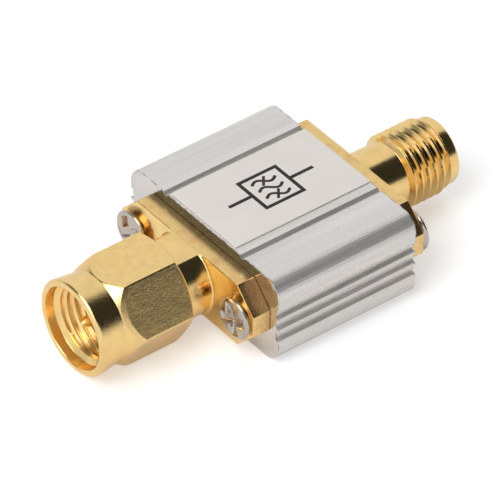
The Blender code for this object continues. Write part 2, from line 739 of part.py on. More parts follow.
def cross_outline(reach, arm):
    """Outline of a cross, anticlockwise from the end of its first arm."""
    half = arm / 2
    quarter = [(reach, -half), (reach, half), (half, half)]
    outline = []
    for index in range(4):
        turn = Matrix.Rotation(index * math.pi / 2, 2)
        outline += [tuple(turn @ Vector(point)) for point in quarter]
    return outline


def recess_cutter(name, cutters):
    """Cross recess of a screw head, narrower towards its floor."""
    mesh = bpy.data.meshes.new(name)
    solid = bmesh.new()
    rings = []
    for level, scale in ((-RECESS_DEPTH, RECESS_FLOOR_SCALE), (-RECESS_BRIM, 1.0), (RECESS_DEPTH, 1.0)):
        outline = cross_outline(RECESS_REACH * scale, RECESS_ARM_WIDTH * scale)
        rings.append([solid.verts.new((across, height, level)) for across, height in outline])
    solid.faces.new(list(reversed(rings[0])))
    solid.faces.new(rings[-1])
    count = len(rings[0])
    for lower, upper in zip(rings, rings[1:]):
        for index in range(count):
            after = (index + 1) % count
            solid.faces.new((lower[index], lower[after], upper[after], upper[index]))
    solid.to_mesh(mesh)
    solid.free()
    return as_cutter(new_object(name, mesh, cutters))


def head_profile():
    """Pan head and shank of a screw, from the crown down to the tip."""
    rim = HEAD_DIAMETER / 2
    rise = HEAD_HEIGHT - HEAD_RIM_HEIGHT
    profile = []
    for index in range(ARC_STEPS + 1):
        angle = math.pi / 2 * index / ARC_STEPS
        profile.append((HEAD_RIM_HEIGHT + rise * math.cos(angle), rim * math.sin(angle)))
    shank = SCREW_DIAMETER / 2
    tip = -SCREW_LENGTH
    profile += [
        (0.0, rim),
        (0.0, shank),
        (tip + SCREW_TIP_CHAMFER, shank),
        (tip, shank - SCREW_TIP_CHAMFER),
        (tip, 0.0),
    ]
    return profile


def screw(name, face, towards, side, turn, parts, cutters, finish):
    """One fixing screw, its head outside the flange face."""
    shape = turned(name, head_profile(), parts, finish, steps=SMALL_ROUND_STEPS)
    seat = face + towards * HEAD_SEAT_GAP
    place = Vector((MIDDLE_SHIFT + seat, side * SCREW_SPACING / 2, AXIS_HEIGHT))
    shape.rotation_euler = (0.0, towards * math.pi / 2, 0.0)
    shape.location = place
    cross = recess_cutter(name + "_recess", cutters)
    spin = Matrix.Rotation(math.radians(turn), 4, "Z")
    aim = Matrix.Rotation(towards * math.pi / 2, 4, "Y")
    crown = Matrix.Translation((0.0, 0.0, HEAD_HEIGHT))
    cross.matrix_world = Matrix.Translation(place) @ aim @ crown @ spin
    combine(shape, cross, "DIFFERENCE")
    return settle(shape)


def screws(parts, cutters, finish):
    """The four fixing screws."""
    for end, face, towards in (("plug", PLUG_FACE, -1), ("jack", JACK_FACE, 1)):
        for side, hand, turn in ((-1, "right", RECESS_TURNS[end][0]), (1, "left", RECESS_TURNS[end][1])):
            screw(f"{end}_screw_{hand}", face, towards, side, turn, parts, cutters, finish)


def circuit_card(parts, finish):
    """Card that slides into the slots of the sleeve."""
    length = SLEEVE_LENGTH - 2 * CARD_END_GAP
    centre = (0.0, 0.0, CARD_TOP - CARD_THICKNESS / 2)
    return block("circuit_board", (length, CARD_WIDTH, CARD_THICKNESS), centre, parts, finish)


def filter_package(parts, ceramic, plated):
    """Ceramic filter package and its soldered metal lid."""
    base = CARD_TOP + SEAT_GAP
    centre = (0.0, 0.0, base + PACKAGE_HEIGHT / 2)
    block("filter_package", (PACKAGE_SIDE, PACKAGE_SIDE, PACKAGE_HEIGHT), centre, parts, ceramic)
    lid_base = base + PACKAGE_HEIGHT + SEAT_GAP
    centre = (0.0, 0.0, lid_base + LID_THICKNESS / 2)
    lid = block("filter_lid", (LID_SIDE, LID_SIDE, LID_THICKNESS), centre, parts, plated)
    edge = lid.modifiers.new("Corner rounding", "BEVEL")
    edge.width = LID_THICKNESS / 4
    edge.segments = 1
    edge.limit_method = "ANGLE"
    return settle(lid)


def chip_outline():
    """Side view of a chip part: a bar with a thicker cap at each end."""
    end = CHIP_LENGTH / 2
    cap = end - CHIP_CAP_LENGTH
    top = CHIP_HEIGHT / 2
    step = top - CHIP_CAP_STEP
    right = [(end, -top), (end, top), (cap, top), (cap, step)]
    left = [(-along, level) for along, level in reversed(right)]
    under = [(-cap, -top), (-cap, -step), (cap, -step), (cap, -top)]
    return right + left + under


def chip(name, along, across, turned_round, parts, finish):
    """One chip part on the card, along the axis or turned across it."""
    outline = chip_outline()
    curve = bpy.data.curves.new(name, "CURVE")
    curve.dimensions = "2D"
    curve.fill_mode = "BOTH"
    curve.extrude = CHIP_WIDTH / 2
    spline = curve.splines.new("POLY")
    spline.points.add(len(outline) - 1)
    for point, (length, level) in zip(spline.points, outline):
        point.co = (length, level, 0.0, 1.0)
    spline.use_cyclic_u = True
    shape = bpy.data.objects.new(name, curve)
    parts.objects.link(shape)
    curve.materials.append(finish)
    level = AXIS_HEIGHT + CARD_TOP + SEAT_GAP + CHIP_HEIGHT / 2
    shape.location = (MIDDLE_SHIFT + along, across, level)
    shape.rotation_euler = (math.pi / 2, 0.0, math.pi / 2 if turned_round else 0.0)
    return shape


def matching_chips(parts, winding, ceramic):
    """Series inductors in line with the signal, shunt capacitors beside it."""
    chip("input_inductor", -CHIP_SPACING, 0.0, False, parts, winding)
    chip("output_inductor", CHIP_SPACING, 0.0, False, parts, winding)
    chip("input_capacitor", -CHIP_SPACING, CAPACITOR_OFFSET, True, parts, ceramic)
    chip("output_capacitor", CHIP_SPACING, CAPACITOR_OFFSET, True, parts, ceramic)


def solder_joint(name, seam, towards, parts, cutters, finish):
    """Solder that wets the tail of a contact and its pad on the card."""
    middle = seam + towards * SOLDER_CENTRE
    base = CARD_TOP + SEAT_GAP
    mesh = bpy.data.meshes.new(name)
    solid = bmesh.new()
    bmesh.ops.create_uvsphere(solid, u_segments=SMALL_ROUND_STEPS, v_segments=ARC_STEPS * 2, radius=1.0)
    height = SOLDER_TOP - base
    bmesh.ops.scale(solid, verts=solid.verts, vec=(SOLDER_LENGTH / 2, SOLDER_WIDTH / 2, height))
    geometry = solid.verts[:] + solid.edges[:] + solid.faces[:]
    cut = bmesh.ops.bisect_plane(solid, geom=geometry, plane_co=(0, 0, 0), plane_no=(0, 0, -1),
                                 clear_outer=True, dist=MERGE_DISTANCE)
    rim = [item for item in cut["geom_cut"] if isinstance(item, bmesh.types.BMEdge)]
    bmesh.ops.contextual_create(solid, geom=rim)
    bmesh.ops.recalc_face_normals(solid, faces=solid.faces)
    solid.to_mesh(mesh)
    solid.free()
    shape = new_object(name, mesh, parts, finish)
    shape.location = (MIDDLE_SHIFT + middle, 0.0, AXIS_HEIGHT + base)
    tail_end = seam + towards * (TAIL_LENGTH + LINE_CLEARANCE)
    ends = sorted((seam - towards * CUT_REACH, tail_end), reverse=True)
    hole = TAIL_DIAMETER + 2 * LINE_CLEARANCE
    way = as_cutter(disc(name + "_tail", *ends, hole, cutters, SMALL_ROUND_STEPS))
    combine(shape, way, "DIFFERENCE")
    return settle(shape)


def build():
    """Model the whole filter."""
    clear_scene()
    parts = new_collection("surface_acoustic_wave_filter")
    cutters = new_collection("cutters")
    aluminium = new_material("aluminium", (0.72, 0.71, 0.70), 0.38, 1.0)
    gold = new_material("gold_plate", (0.86, 0.62, 0.25), 0.22, 1.0)
    nickel = new_material("nickel_plate", (0.70, 0.68, 0.65), 0.18, 1.0)
    paper = new_material("label_film", (0.86, 0.84, 0.82), 0.55, 0.0)
    fluoropolymer = new_material("fluoropolymer", (0.90, 0.89, 0.86), 0.45, 0.0)
    spring = new_material("spring_bronze", (0.62, 0.42, 0.22), 0.35, 1.0)
    laminate = new_material("laminate", (0.05, 0.17, 0.09), 0.5, 0.0)
    ceramic = new_material("ceramic", (0.33, 0.30, 0.27), 0.6, 0.0)
    winding = new_material("winding", (0.24, 0.10, 0.05), 0.5, 0.0)
    solder = new_material("solder", (0.62, 0.62, 0.62), 0.3, 1.0)
    sleeve(parts, aluminium)
    label(parts, paper)
    plug_flange(parts, cutters, gold)
    coupling_nut(parts, cutters, gold)
    retaining_ring(parts, spring)
    line_dielectric("plug_dielectric", PLUG_SEAM, PLUG_REFERENCE, parts, fluoropolymer)
    centre_pin(parts, gold)
    jack_flange(parts, cutters, gold)
    line_dielectric("jack_dielectric", JACK_REFERENCE, JACK_SEAM, parts, fluoropolymer)
    socket_contact(parts, cutters, gold)
    screws(parts, cutters, nickel)
    circuit_card(parts, laminate)
    filter_package(parts, ceramic, gold)
    matching_chips(parts, winding, ceramic)
    solder_joint("plug_solder", PLUG_SEAM, 1, parts, cutters, solder)
    solder_joint("jack_solder", JACK_SEAM, -1, parts, cutters, solder)


build()
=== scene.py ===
"""Finish of an inline coaxial surface acoustic wave filter.

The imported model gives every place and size. This script adds the finished skins of the
sleeve, the plug, the coupling nut and the jack, the print on the label, the finish of
every surface, and the stage. The connector axis runs along X, and the label faces +Z.
"""
import math

import bmesh
import bpy
import numpy as np
from bpy.props import FloatProperty, FloatVectorProperty, IntProperty, PointerProperty
from mathutils import Matrix, Vector


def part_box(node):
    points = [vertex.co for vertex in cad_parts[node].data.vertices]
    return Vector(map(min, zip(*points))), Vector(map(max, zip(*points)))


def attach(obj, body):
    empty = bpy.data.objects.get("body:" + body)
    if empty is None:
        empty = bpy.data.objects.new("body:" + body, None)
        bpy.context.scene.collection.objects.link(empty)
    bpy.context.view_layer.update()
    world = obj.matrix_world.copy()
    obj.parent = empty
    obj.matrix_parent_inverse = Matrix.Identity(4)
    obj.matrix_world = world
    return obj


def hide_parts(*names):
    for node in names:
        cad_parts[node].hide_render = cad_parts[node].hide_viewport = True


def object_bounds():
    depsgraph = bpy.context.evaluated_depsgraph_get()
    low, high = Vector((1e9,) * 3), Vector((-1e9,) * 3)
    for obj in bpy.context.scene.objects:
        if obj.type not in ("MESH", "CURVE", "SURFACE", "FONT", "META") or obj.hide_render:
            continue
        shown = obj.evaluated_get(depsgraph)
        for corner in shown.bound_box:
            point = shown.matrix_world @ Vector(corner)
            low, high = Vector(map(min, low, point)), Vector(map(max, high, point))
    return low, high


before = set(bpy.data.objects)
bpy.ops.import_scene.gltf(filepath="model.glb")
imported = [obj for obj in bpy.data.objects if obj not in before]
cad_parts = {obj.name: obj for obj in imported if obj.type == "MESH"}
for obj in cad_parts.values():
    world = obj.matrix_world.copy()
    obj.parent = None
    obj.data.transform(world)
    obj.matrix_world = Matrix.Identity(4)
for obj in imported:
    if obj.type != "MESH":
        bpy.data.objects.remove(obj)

bl_info = {
    "name": "Surface Acoustic Wave Filter Finish",
    "version": (1, 0, 0),
    "blender": (4, 5, 0),
    "location": "3D View > Sidebar > Filter",
    "description": "Finished skins, materials and stage for an inline coaxial filter",
    "category": "Object",
}

MM = 0.001
CAD_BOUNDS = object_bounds()
SLEEVE_LOW, SLEEVE_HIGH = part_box("housing")
PLUG_LOW, PLUG_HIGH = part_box("plug_flange")
JACK_LOW, JACK_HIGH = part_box("jack_flange")
NUT_LOW, NUT_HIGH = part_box("coupling_nut")
RING_LOW, RING_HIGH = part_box("retaining_ring")
LABEL_LOW, LABEL_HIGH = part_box("label")
DIELECTRIC_LOW, DIELECTRIC_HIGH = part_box("plug_dielectric")

AXIS_HEIGHT = (SLEEVE_LOW.z + SLEEVE_HIGH.z) / 2
SLEEVE_MIDDLE = (SLEEVE_LOW.x + SLEEVE_HIGH.x) / 2
SLEEVE_REACH = (SLEEVE_HIGH.x - SLEEVE_LOW.x) / 2
SLEEVE_SIDE = (SLEEVE_HIGH.y - SLEEVE_LOW.y) / 2
SLEEVE_TOP = (SLEEVE_HIGH.z - SLEEVE_LOW.z) / 2
FLANGE_THICKNESS = 1.65 * MM
FLANGE_SIDE = (PLUG_HIGH.y - PLUG_LOW.y) / 2
FLANGE_TOP = (PLUG_HIGH.z - PLUG_LOW.z) / 2
PLUG_FACE = PLUG_HIGH.x - FLANGE_THICKNESS
JACK_FACE = JACK_LOW.x + FLANGE_THICKNESS
RING_GROOVE_FRONT = RING_LOW.x - 0.05 * MM
RING_GROOVE_REAR = RING_HIGH.x + 0.05 * MM
LINE_BORE = (DIELECTRIC_HIGH.y - DIELECTRIC_LOW.y) / 2 + 0.02 * MM
FIXED_BODY = "filter_body"
NUT_BODY = "nut"
SMOOTH_ANGLE = math.radians(40.0)
MERGE_DISTANCE = 0.0002 * MM
WHITE = (1.0, 1.0, 1.0, 1.0)


def length(name, description, millimetres, least=0.0):
    """A length setting, kept in metres."""
    return FloatProperty(
        name=name,
        description=description,
        default=millimetres * MM,
        min=least * MM,
        precision=6,
        unit="LENGTH",
    )


def angle(name, description, degrees):
    """An angle setting, kept in radians."""
    return FloatProperty(
        name=name, description=description, default=math.radians(degrees), subtype="ANGLE"
    )


def number(name, description, value, unit="NONE"):
    """A plain number as a setting."""
    return FloatProperty(name=name, description=description, default=value, min=0.0, unit=unit)


def colour(name, description, value):
    """A colour setting, linear."""
    return FloatVectorProperty(
        name=name, description=description, default=value, min=0.0, max=1.0, subtype="COLOR"
    )


class FILTER_PG_sleeve(bpy.types.PropertyGroup):
    """Sizes and colour of the extruded sleeve."""

    corner_radius: length("Corner Radius", "Radius of the four long edges", 1.5)
    groove_width: length("Side Groove Width", "Height of one groove in a flank", 0.84)
    groove_depth: length("Side Groove Depth", "Depth of one groove in a flank", 0.3)
    rib_width: length("Side Rib Width", "Height of one rib between two grooves", 0.27)
    v_place: length("Top Groove Place", "Distance of a top groove from the middle", 4.8)
    v_half_width: length("Top Groove Half Width", "Half the width of a top groove", 0.3)
    v_depth: length("Top Groove Depth", "Depth of a top groove", 0.3)
    edge_round: length("Edge Rounding", "Radius of the small edges of the profile", 0.07)
    end_round: length("Sawn Edge Rounding", "Radius of the edge of a sawn end", 0.045)
    burr: length("Burr", "Height of the burr that the saw leaves on the edge", 0.02)
    tint: colour("Aluminium", "Colour of the bare aluminium", (0.80, 0.76, 0.72))


class FILTER_PG_connectors(bpy.types.PropertyGroup):
    """Sizes and colour of the plated plug, nut and jack."""

    thread_pitch: length("Thread Pitch", "Pitch of both threads", 0.7056)
    thread_crest: length("Thread Crest", "Width of the flat on a thread's crest", 0.06)
    thread_flank: length("Thread Flank", "Length along the axis of a thread's flank", 0.245)
    jack_thread_depth: length("Jack Thread Depth", "Depth of the outer thread", 0.42)
    nut_thread_depth: length("Nut Thread Depth", "Depth of the inner thread", 0.32)
    flange_chamfer: length("Flange Chamfer", "Cut at each corner of a flange", 2.0)
    edge_round: length("Edge Rounding", "Radius of the machined edges", 0.09)
    across_flats: length("Across Flats", "Width of the nut across its flats", 7.94)
    hex_corner: length("Hex Corner Rounding", "Radius of the nut's six long edges", 0.16)
    gold: colour("Gold Plating", "Colour of the gold-coloured plating", (0.94, 0.66, 0.275))
    nickel: colour("Nickel Plating", "Colour of the screws", (0.55, 0.49, 0.44))
    steps: IntProperty(
        name="Steps Round",
        description="Number of points round a turned piece",
        default=192,
        min=24,
        max=360,
    )


class FILTER_PG_label(bpy.types.PropertyGroup):
    """Sizes and colours of the label and its print."""

    line_width: length("Line Width", "Width of a printed line", 0.32)
    sign_size: length("Sign Size", "Side of the printed filter sign", 3.6)
    ink_thickness: length("Ink Thickness", "Thickness of the ink", 0.012)
    film: colour("Film", "Colour of the label film", (0.88, 0.82, 0.76))
    ink: colour("Ink", "Colour of the print", (0.022, 0.015, 0.013))


class FILTER_PG_stage(bpy.types.PropertyGroup):
    """Camera, light and floor."""

    azimuth: angle("Azimuth", "Angle of the camera round the filter", -38.40)
    elevation: angle("Elevation", "Angle of the camera above the horizon", 39.72)
    roll: angle("Roll", "Turn of the camera about its own axis", 0.68)
    distance: length("Distance", "Distance of the camera from the sleeve's middle", 467.0)
    lens: number("Lens", "Focal length of the camera on a 36 mm sensor", 435.0, "CAMERA")
    aim_right: length("Aim Right", "How far right of the middle it aims", -1.739, -10.0)
    aim_up: length("Aim Up", "How far above the middle it aims", -1.530, -10.0)
    surround: number("Surround", "Brightness of the white room", 0.86)


def unit(vectors):
    """Vectors of length one."""
    lengths = np.linalg.norm(vectors, axis=-1, keepdims=True)
    return vectors / np.maximum(lengths, 1e-12)


def rounded_corners(points, radii, steps, closed=True):
    """Paths whose corners are arcs.

    A corner of angle 2h between its two neighbours becomes an arc of radius r. The arc's
    centre lies r / sin h from the corner on the bisector, and it starts r / tan h from the
    corner. points is (..., corners, 2), and each corner gives steps + 1 points.
    """
    points = np.asarray(points, float)
    radii = np.broadcast_to(radii, points.shape[:-1])[..., None]
    before = unit(np.roll(points, 1, axis=-2) - points)
    after = unit(np.roll(points, -1, axis=-2) - points)
    half = np.arccos(np.clip((before * after).sum(-1), -1.0, 1.0))[..., None] / 2
    half = np.clip(half, 1e-3, math.pi / 2 - 1e-4)
    reach = radii / np.tan(half)
    centre = points + unit(before + after) * radii / np.sin(half)
    first = (points + before * reach - centre)[..., None, :]
    last = (points + after * reach - centre)[..., None, :]
    turn = (math.pi - 2 * half)[..., None, :]
    share = np.linspace(0.0, 1.0, steps + 1)[:, None]
    spokes = np.sin((1 - share) * turn) * first + np.sin(share * turn) * last
    arcs = centre[..., None, :] + spokes / np.sin(turn)
    if closed:
        return arcs.reshape(*points.shape[:-2], -1, 2)
    path = arcs[..., 1:-1, :, :].reshape(*points.shape[:-2], -1, 2)
    return np.concatenate([points[..., :1, :], path, points[..., -1:, :]], axis=-2)


def full_turn(count):
    """Angles of a full turn, from +Y towards +Z."""
    return np.arange(count) * (2 * math.pi / count)


def turned(along, radius, angles):
    """Places on a turned surface.

    A point at radius r and angle a is at Y = r cos a and Z = axis + r sin a.
    """
    across = radius * np.cos(angles)
    height = AXIS_HEIGHT + radius * np.sin(angles)
    return np.stack([np.broadcast_to(along, across.shape), across, height], axis=-1)


def cross_sections(places, outlines):
    """Outlines of (Y, Z) points about the axis, one at each place along X."""
    rings = np.empty((len(places), np.shape(outlines)[-2], 3))
    rings[..., 0] = np.reshape(places, (-1, 1))
    rings[..., 1:] = outlines
    rings[..., 2] += AXIS_HEIGHT
    return rings


def shell(grid, rows_meet=False, columns_meet=True, caps=False):
    """Places and four-sided faces of a grid, whose rows and columns can meet again.

    A place has the index row * columns + column. Caps close the first and the last row.
    """
    rows, columns = grid.shape[:2]
    row = np.arange(rows if rows_meet else rows - 1)[:, None]
    column = np.arange(columns if columns_meet else columns - 1)
    next_row = (row + 1) % rows * columns
    next_column = (column + 1) % columns
    row = row * columns
    corners = (row + column, row + next_column, next_row + next_column, next_row + column)
    faces = np.stack(corners, axis=-1).reshape(-1, 4).tolist()
    if caps:
        faces += [[*range(columns)], [*range((rows - 1) * columns, rows * columns)]]
    return grid.reshape(-1, 3), faces


def join(*shells):
    """Several shells as one set of places and faces."""
    vertices = []
    faces = []
    offset = 0
    for places, sides in shells:
        vertices.append(places)
        faces += [[corner + offset for corner in side] for side in sides]
        offset += len(places)
    return np.concatenate(vertices), faces


def close_ends(solid):
    """Fill the flat open ends of a shape, holes left open, one end at a time."""
    ends = {}
    for edge in solid.edges:
        if edge.is_boundary:
            ends.setdefault(round(edge.verts[0].co.x / MM, 2), []).append(edge)
    for edges in ends.values():
        bmesh.ops.triangle_fill(solid, edges=edges, use_beauty=True)


def shade_shape(shape, sharp, weight):
    """Shade the round faces smooth and keep the flat ones flat."""
    shape.data.shade_smooth()
    shape.data.set_sharp_from_angle(angle=sharp)
    weigh = shape.modifiers.new("Flat Faces Stay Flat", "WEIGHTED_NORMAL")
    weigh.keep_sharp = True
    weigh.weight = weight


def new_object(name, data):
    """A new object in the scene."""
    shape = bpy.data.objects.new(name, data)
    bpy.context.scene.collection.objects.link(shape)
    return shape


def new_piece(name, shells, material, body=FIXED_BODY, open_ends=False, sharp=SMOOTH_ANGLE):
    """A finished piece from its shells, with doubles merged and faces turned outwards."""
    vertices, faces = join(*shells)
    mesh = bpy.data.meshes.new(name)
    mesh.from_pydata(vertices, [], faces)
    mesh.materials.append(material)
    shape = new_object(name, mesh)
    solid = bmesh.new()
    solid.from_mesh(mesh)
    bmesh.ops.remove_doubles(solid, verts=solid.verts, dist=MERGE_DISTANCE)
    bmesh.ops.dissolve_degenerate(solid, edges=solid.edges, dist=MERGE_DISTANCE)
    if open_ends:
        close_ends(solid)
    if any(edge.is_boundary for edge in solid.edges):
        raise RuntimeError(name + " has an open edge")
    bmesh.ops.recalc_face_normals(solid, faces=solid.faces)
    solid.to_mesh(mesh)
    solid.free()
    shade_shape(shape, sharp, 80)
    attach(shape, body)
    return shape


def second_finish(shape, finish, chosen):
    """Give one more material to the faces that chosen picks by their centres and normals."""
    shape.data.materials.append(finish)
    faces = shape.data.polygons
    places = np.empty(len(faces) * 3)
    facing = np.empty(len(faces) * 3)
    slots = np.empty(len(faces), np.int32)
    faces.foreach_get("center", places)
    faces.foreach_get("normal", facing)
    faces.foreach_get("material_index", slots)
    picked = chosen(places.reshape(-1, 3), facing.reshape(-1, 3))
    slots[picked] = len(shape.data.materials) - 1
    faces.foreach_set("material_index", slots)


def feed(tree, value, target):
    """Set a socket to a value, or link an output to it."""
    if isinstance(value, bpy.types.NodeSocket):
        tree.links.new(value, target)
    else:
        target.default_value = value


def add_node(tree, kind, inputs, **settings):
    """A node with its settings, fed by values or by outputs of other nodes."""
    node = tree.nodes.new("ShaderNode" + kind)
    for name, value in settings.items():
        setattr(node, name, value)
    for socket, value in inputs.items():
        feed(tree, value, node.inputs[socket])
    return node


def math_node(tree, operation, *values, clamp=False):
    """A math node fed by numbers or by outputs of other nodes."""
    inputs = dict(enumerate(values))
    return add_node(tree, "Math", inputs, operation=operation, use_clamp=clamp).outputs[0]


def noise(tree, vector, scale, detail=2.0, roughness=0.5):
    """The value of a noise texture."""
    inputs = {"Vector": vector, "Scale": scale, "Detail": detail, "Roughness": roughness}
    return add_node(tree, "TexNoise", inputs).outputs["Fac"]


def remap(tree, value, low, high, to_low=0.0, to_high=1.0):
    """A value moved from one range to another, and held inside it."""
    inputs = {"Value": value, "From Min": low, "From Max": high, "To Min": to_low}
    return add_node(tree, "MapRange", {**inputs, "To Max": to_high}).outputs["Result"]


def spread(tree, value, to_low=0.0, to_high=1.0, reach=0.2):
    """A noise, whose values lie within reach of one half, spread over a range."""
    return remap(tree, value, 0.5 - reach, 0.5 + reach, to_low, to_high)


def mix_colour(tree, share, first, second):
    """A blend of two colours."""
    inputs = {"Factor": share, "A": first, "B": second}
    return add_node(tree, "Mix", inputs, data_type="RGBA").outputs["Result"]


def shade(tint, factor):
    """A colour made darker or lighter."""
    return tuple(min(channel * factor, 1.0) for channel in tint) + (1.0,)


def tinted(tree, share, tint, low, high):
    """A tint that goes from low to high times its own brightness."""
    return mix_colour(tree, share, shade(tint, low), shade(tint, high))


def own_place(tree):
    """The piece's own coordinates."""
    return tree.nodes.new("ShaderNodeTexCoord").outputs["Object"]


def stretched(tree, vector, scale):
    """Coordinates scaled along each axis."""
    return add_node(tree, "Mapping", {"Vector": vector, "Scale": scale}).outputs["Vector"]


def past_cut(tree, axes, low, high, to_low=0.0, to_high=1.0):
    """A value that changes between two distances, in mm, past the sleeve's sawn ends."""
    away = math_node(tree, "SUBTRACT", axes["X"], SLEEVE_MIDDLE)
    low, high = SLEEVE_REACH + low * MM, SLEEVE_REACH + high * MM
    return remap(tree, math_node(tree, "ABSOLUTE", away), low, high, to_low, to_high)


def new_group(name, inputs, outputs):
    """A shader node group. An input without a value is a vector, all others are numbers."""
    group = bpy.data.node_groups.new(name, "ShaderNodeTree")
    for label, value in inputs.items():
        kind = "NodeSocketVector" if value is None else "NodeSocketFloat"
        item = group.interface.new_socket(name=label, in_out="INPUT", socket_type=kind)
        if value is not None:
            item.default_value = value
    for label in outputs:
        group.interface.new_socket(name=label, in_out="OUTPUT", socket_type="NodeSocketFloat")
    given = group.nodes.new("NodeGroupInput").outputs
    return group, given, group.nodes.new("NodeGroupOutput").inputs


def plating_group(name):
    """Texture of plated metal: fine grain and faint blotches."""
    inputs = {"Vector": None, "Grain per Metre": 7000.0, "Blotch per Metre": 900.0}
    group, given, result = new_group(name, inputs, ("Grain", "Blotch"))
    grain = noise(group, given["Vector"], given["Grain per Metre"], 5.0, 0.78)
    blotch = noise(group, given["Vector"], given["Blotch per Metre"], 3.0, 0.55)
    group.links.new(grain, result["Grain"])
    group.links.new(blotch, result["Blotch"])
    return group


def drawn_group(name):
    """Texture of extruded metal: long fine lines along X, broad bands and small pits."""
    inputs = {"Vector": None, "Lines per Metre": 9000.0}
    group, given, result = new_group(name, inputs, ("Lines", "Bands", "Pits"))
    along = stretched(group, given["Vector"], (0.012, 1.0, 1.0))
    lines = noise(group, along, given["Lines per Metre"], 4.0, 0.65)
    bands = noise(group, stretched(group, given["Vector"], (0.04, 1.0, 1.0)), 1400.0)
    flecks = noise(group, stretched(group, given["Vector"], (0.45, 1.0, 1.0)), 4200.0, 1.0)
    group.links.new(lines, result["Lines"])
    group.links.new(bands, result["Bands"])
    group.links.new(remap(group, flecks, 0.75, 0.82), result["Pits"])
    return group


def dark_card_group(name):
    """How much of the room's light a soft card takes away in one direction.

    Inner and outer are cosines of the angles from the card's middle. A negative depth adds
    light instead.
    """
    inputs = {"Direction": None, "Card": None, "Inner": 0.95, "Outer": 0.80, "Depth": 0.9}
    group, given, result = new_group(name, inputs, ("Light",))
    sides = {0: given["Direction"], 1: given["Card"]}
    dot = add_node(group, "VectorMath", sides, operation="DOT_PRODUCT").outputs["Value"]
    limits = {"Value": dot, "From Min": given["Outer"], "From Max": given["Inner"]}
    near = add_node(group, "MapRange", limits, interpolation_type="SMOOTHSTEP")
    taken = math_node(group, "MULTIPLY", near.outputs["Result"], given["Depth"])
    group.links.new(math_node(group, "SUBTRACT", 1.0, taken), result["Light"])
    return group


def place_group(tree, name, make, **inputs):
    """Put a shared group, made the first time that it is asked for, into a tree."""
    group = bpy.data.node_groups.get(name) or make(name)
    inputs = {label.replace("_", " "): value for label, value in inputs.items()}
    return add_node(tree, "Group", inputs, node_tree=group).outputs


def new_material(name, tint, roughness, metallic):
    """A material with one Principled shader, and its node tree."""
    finish = bpy.data.materials.new(name)
    finish.use_nodes = True
    finish.diffuse_color = (*tint, 1.0)
    shader = finish.node_tree.nodes["Principled BSDF"]
    shader.inputs["Base Color"].default_value = (*tint, 1.0)
    shader.inputs["Roughness"].default_value = roughness
    shader.inputs["Metallic"].default_value = metallic
    return finish, finish.node_tree


def dress(finish, tone, rough, height, relief):
    """Link a colour, a roughness and a relief, in mm, to the shader of a material."""
    tree = finish.node_tree
    bump = add_node(tree, "Bump", {"Height": height, "Strength": 1.0, "Distance": relief * MM})
    sockets = tree.nodes["Principled BSDF"].inputs
    tree.links.new(tone, sockets["Base Color"])
    tree.links.new(rough, sockets["Roughness"])
    tree.links.new(bump.outputs["Normal"], sockets["Normal"])
    return finish


def plated(name, tint, roughness, relief, grain=7000.0, contrast=1.3, blotch=900.0, depth=0.05):
    """Bright plating over machined metal.

    Its roughness varies by the contrast, and its colour by the depth of the blotches.
    """
    finish, tree = new_material(name, tint, roughness, 1.0)
    per_metre = {"Grain_per_Metre": grain, "Blotch_per_Metre": blotch}
    place = own_place(tree)
    surface = place_group(tree, "Plated Surface", plating_group, Vector=place, **per_metre)
    mottle = spread(tree, surface["Blotch"], reach=0.15)
    tone = tinted(tree, mottle, tint, 1 - depth, 1 + depth)
    rough = spread(tree, surface["Grain"], roughness / contrast, roughness * contrast, 0.15)
    return dress(finish, tone, rough, surface["Grain"], relief)


def gold_finish(sizes):
    """The gold-coloured plating, made once."""
    made = bpy.data.materials.get("gold_plating")
    return made or plated("gold_plating", sizes.gold, 0.15, 0.006)


def milled_plating(tint):
    """Plating over milled edges: fine marks along Y, and brown mottling.

    The plate's cut corners are stained most, and a painted shade darkens its seam with the
    sleeve.
    """
    finish, tree = new_material("gold_plating_milled", tint, 0.28, 1.0)
    place = own_place(tree)
    turn = {"Vector": place, "Rotation": (0.0, 0.0, math.pi / 2)}
    across = add_node(tree, "Mapping", turn).outputs["Vector"]
    marks = place_group(
        tree, "Drawn Surface", drawn_group, Vector=across, Lines_per_Metre=7000.0
    )["Lines"]
    surface = place_group(
        tree, "Plated Surface", plating_group, Vector=place, Blotch_per_Metre=1100.0
    )
    tone = tinted(tree, spread(tree, marks), tint, 0.9, 1.02)
    axes = add_node(tree, "SeparateXYZ", {0: place}).outputs
    away = math_node(tree, "ABSOLUTE", axes["Y"])
    begins = remap(tree, away, FLANGE_SIDE - 2.1 * MM, FLANGE_SIDE - 1.9 * MM, 0.0, 0.6)
    ends = remap(tree, away, FLANGE_SIDE - 0.12 * MM, FLANGE_SIDE - 0.03 * MM, 0.6, 0.1)
    corner = math_node(tree, "MINIMUM", begins, ends)
    mottle = remap(tree, surface["Blotch"], 0.45, 0.68, 0.0, 0.55)
    mottle = math_node(tree, "ADD", mottle, corner, clamp=True)
    brown = (tint[0] * 0.78, tint[1] * 0.60, tint[2] * 0.62, 1.0)
    stained = mix_colour(tree, mottle, tone, brown)
    # Painted shade: the flange's strip next to the sleeve's sawn end is darkened almost to
    # black, standing for shade in the seam between the two parts.
    seam = past_cut(tree, axes, 0.03, 0.09, 0.65, 0.0)
    tone = mix_colour(tree, seam, stained, shade(tint, 0.12))
    return dress(finish, tone, spread(tree, surface["Grain"], 0.25, 0.31), marks, 0.006)


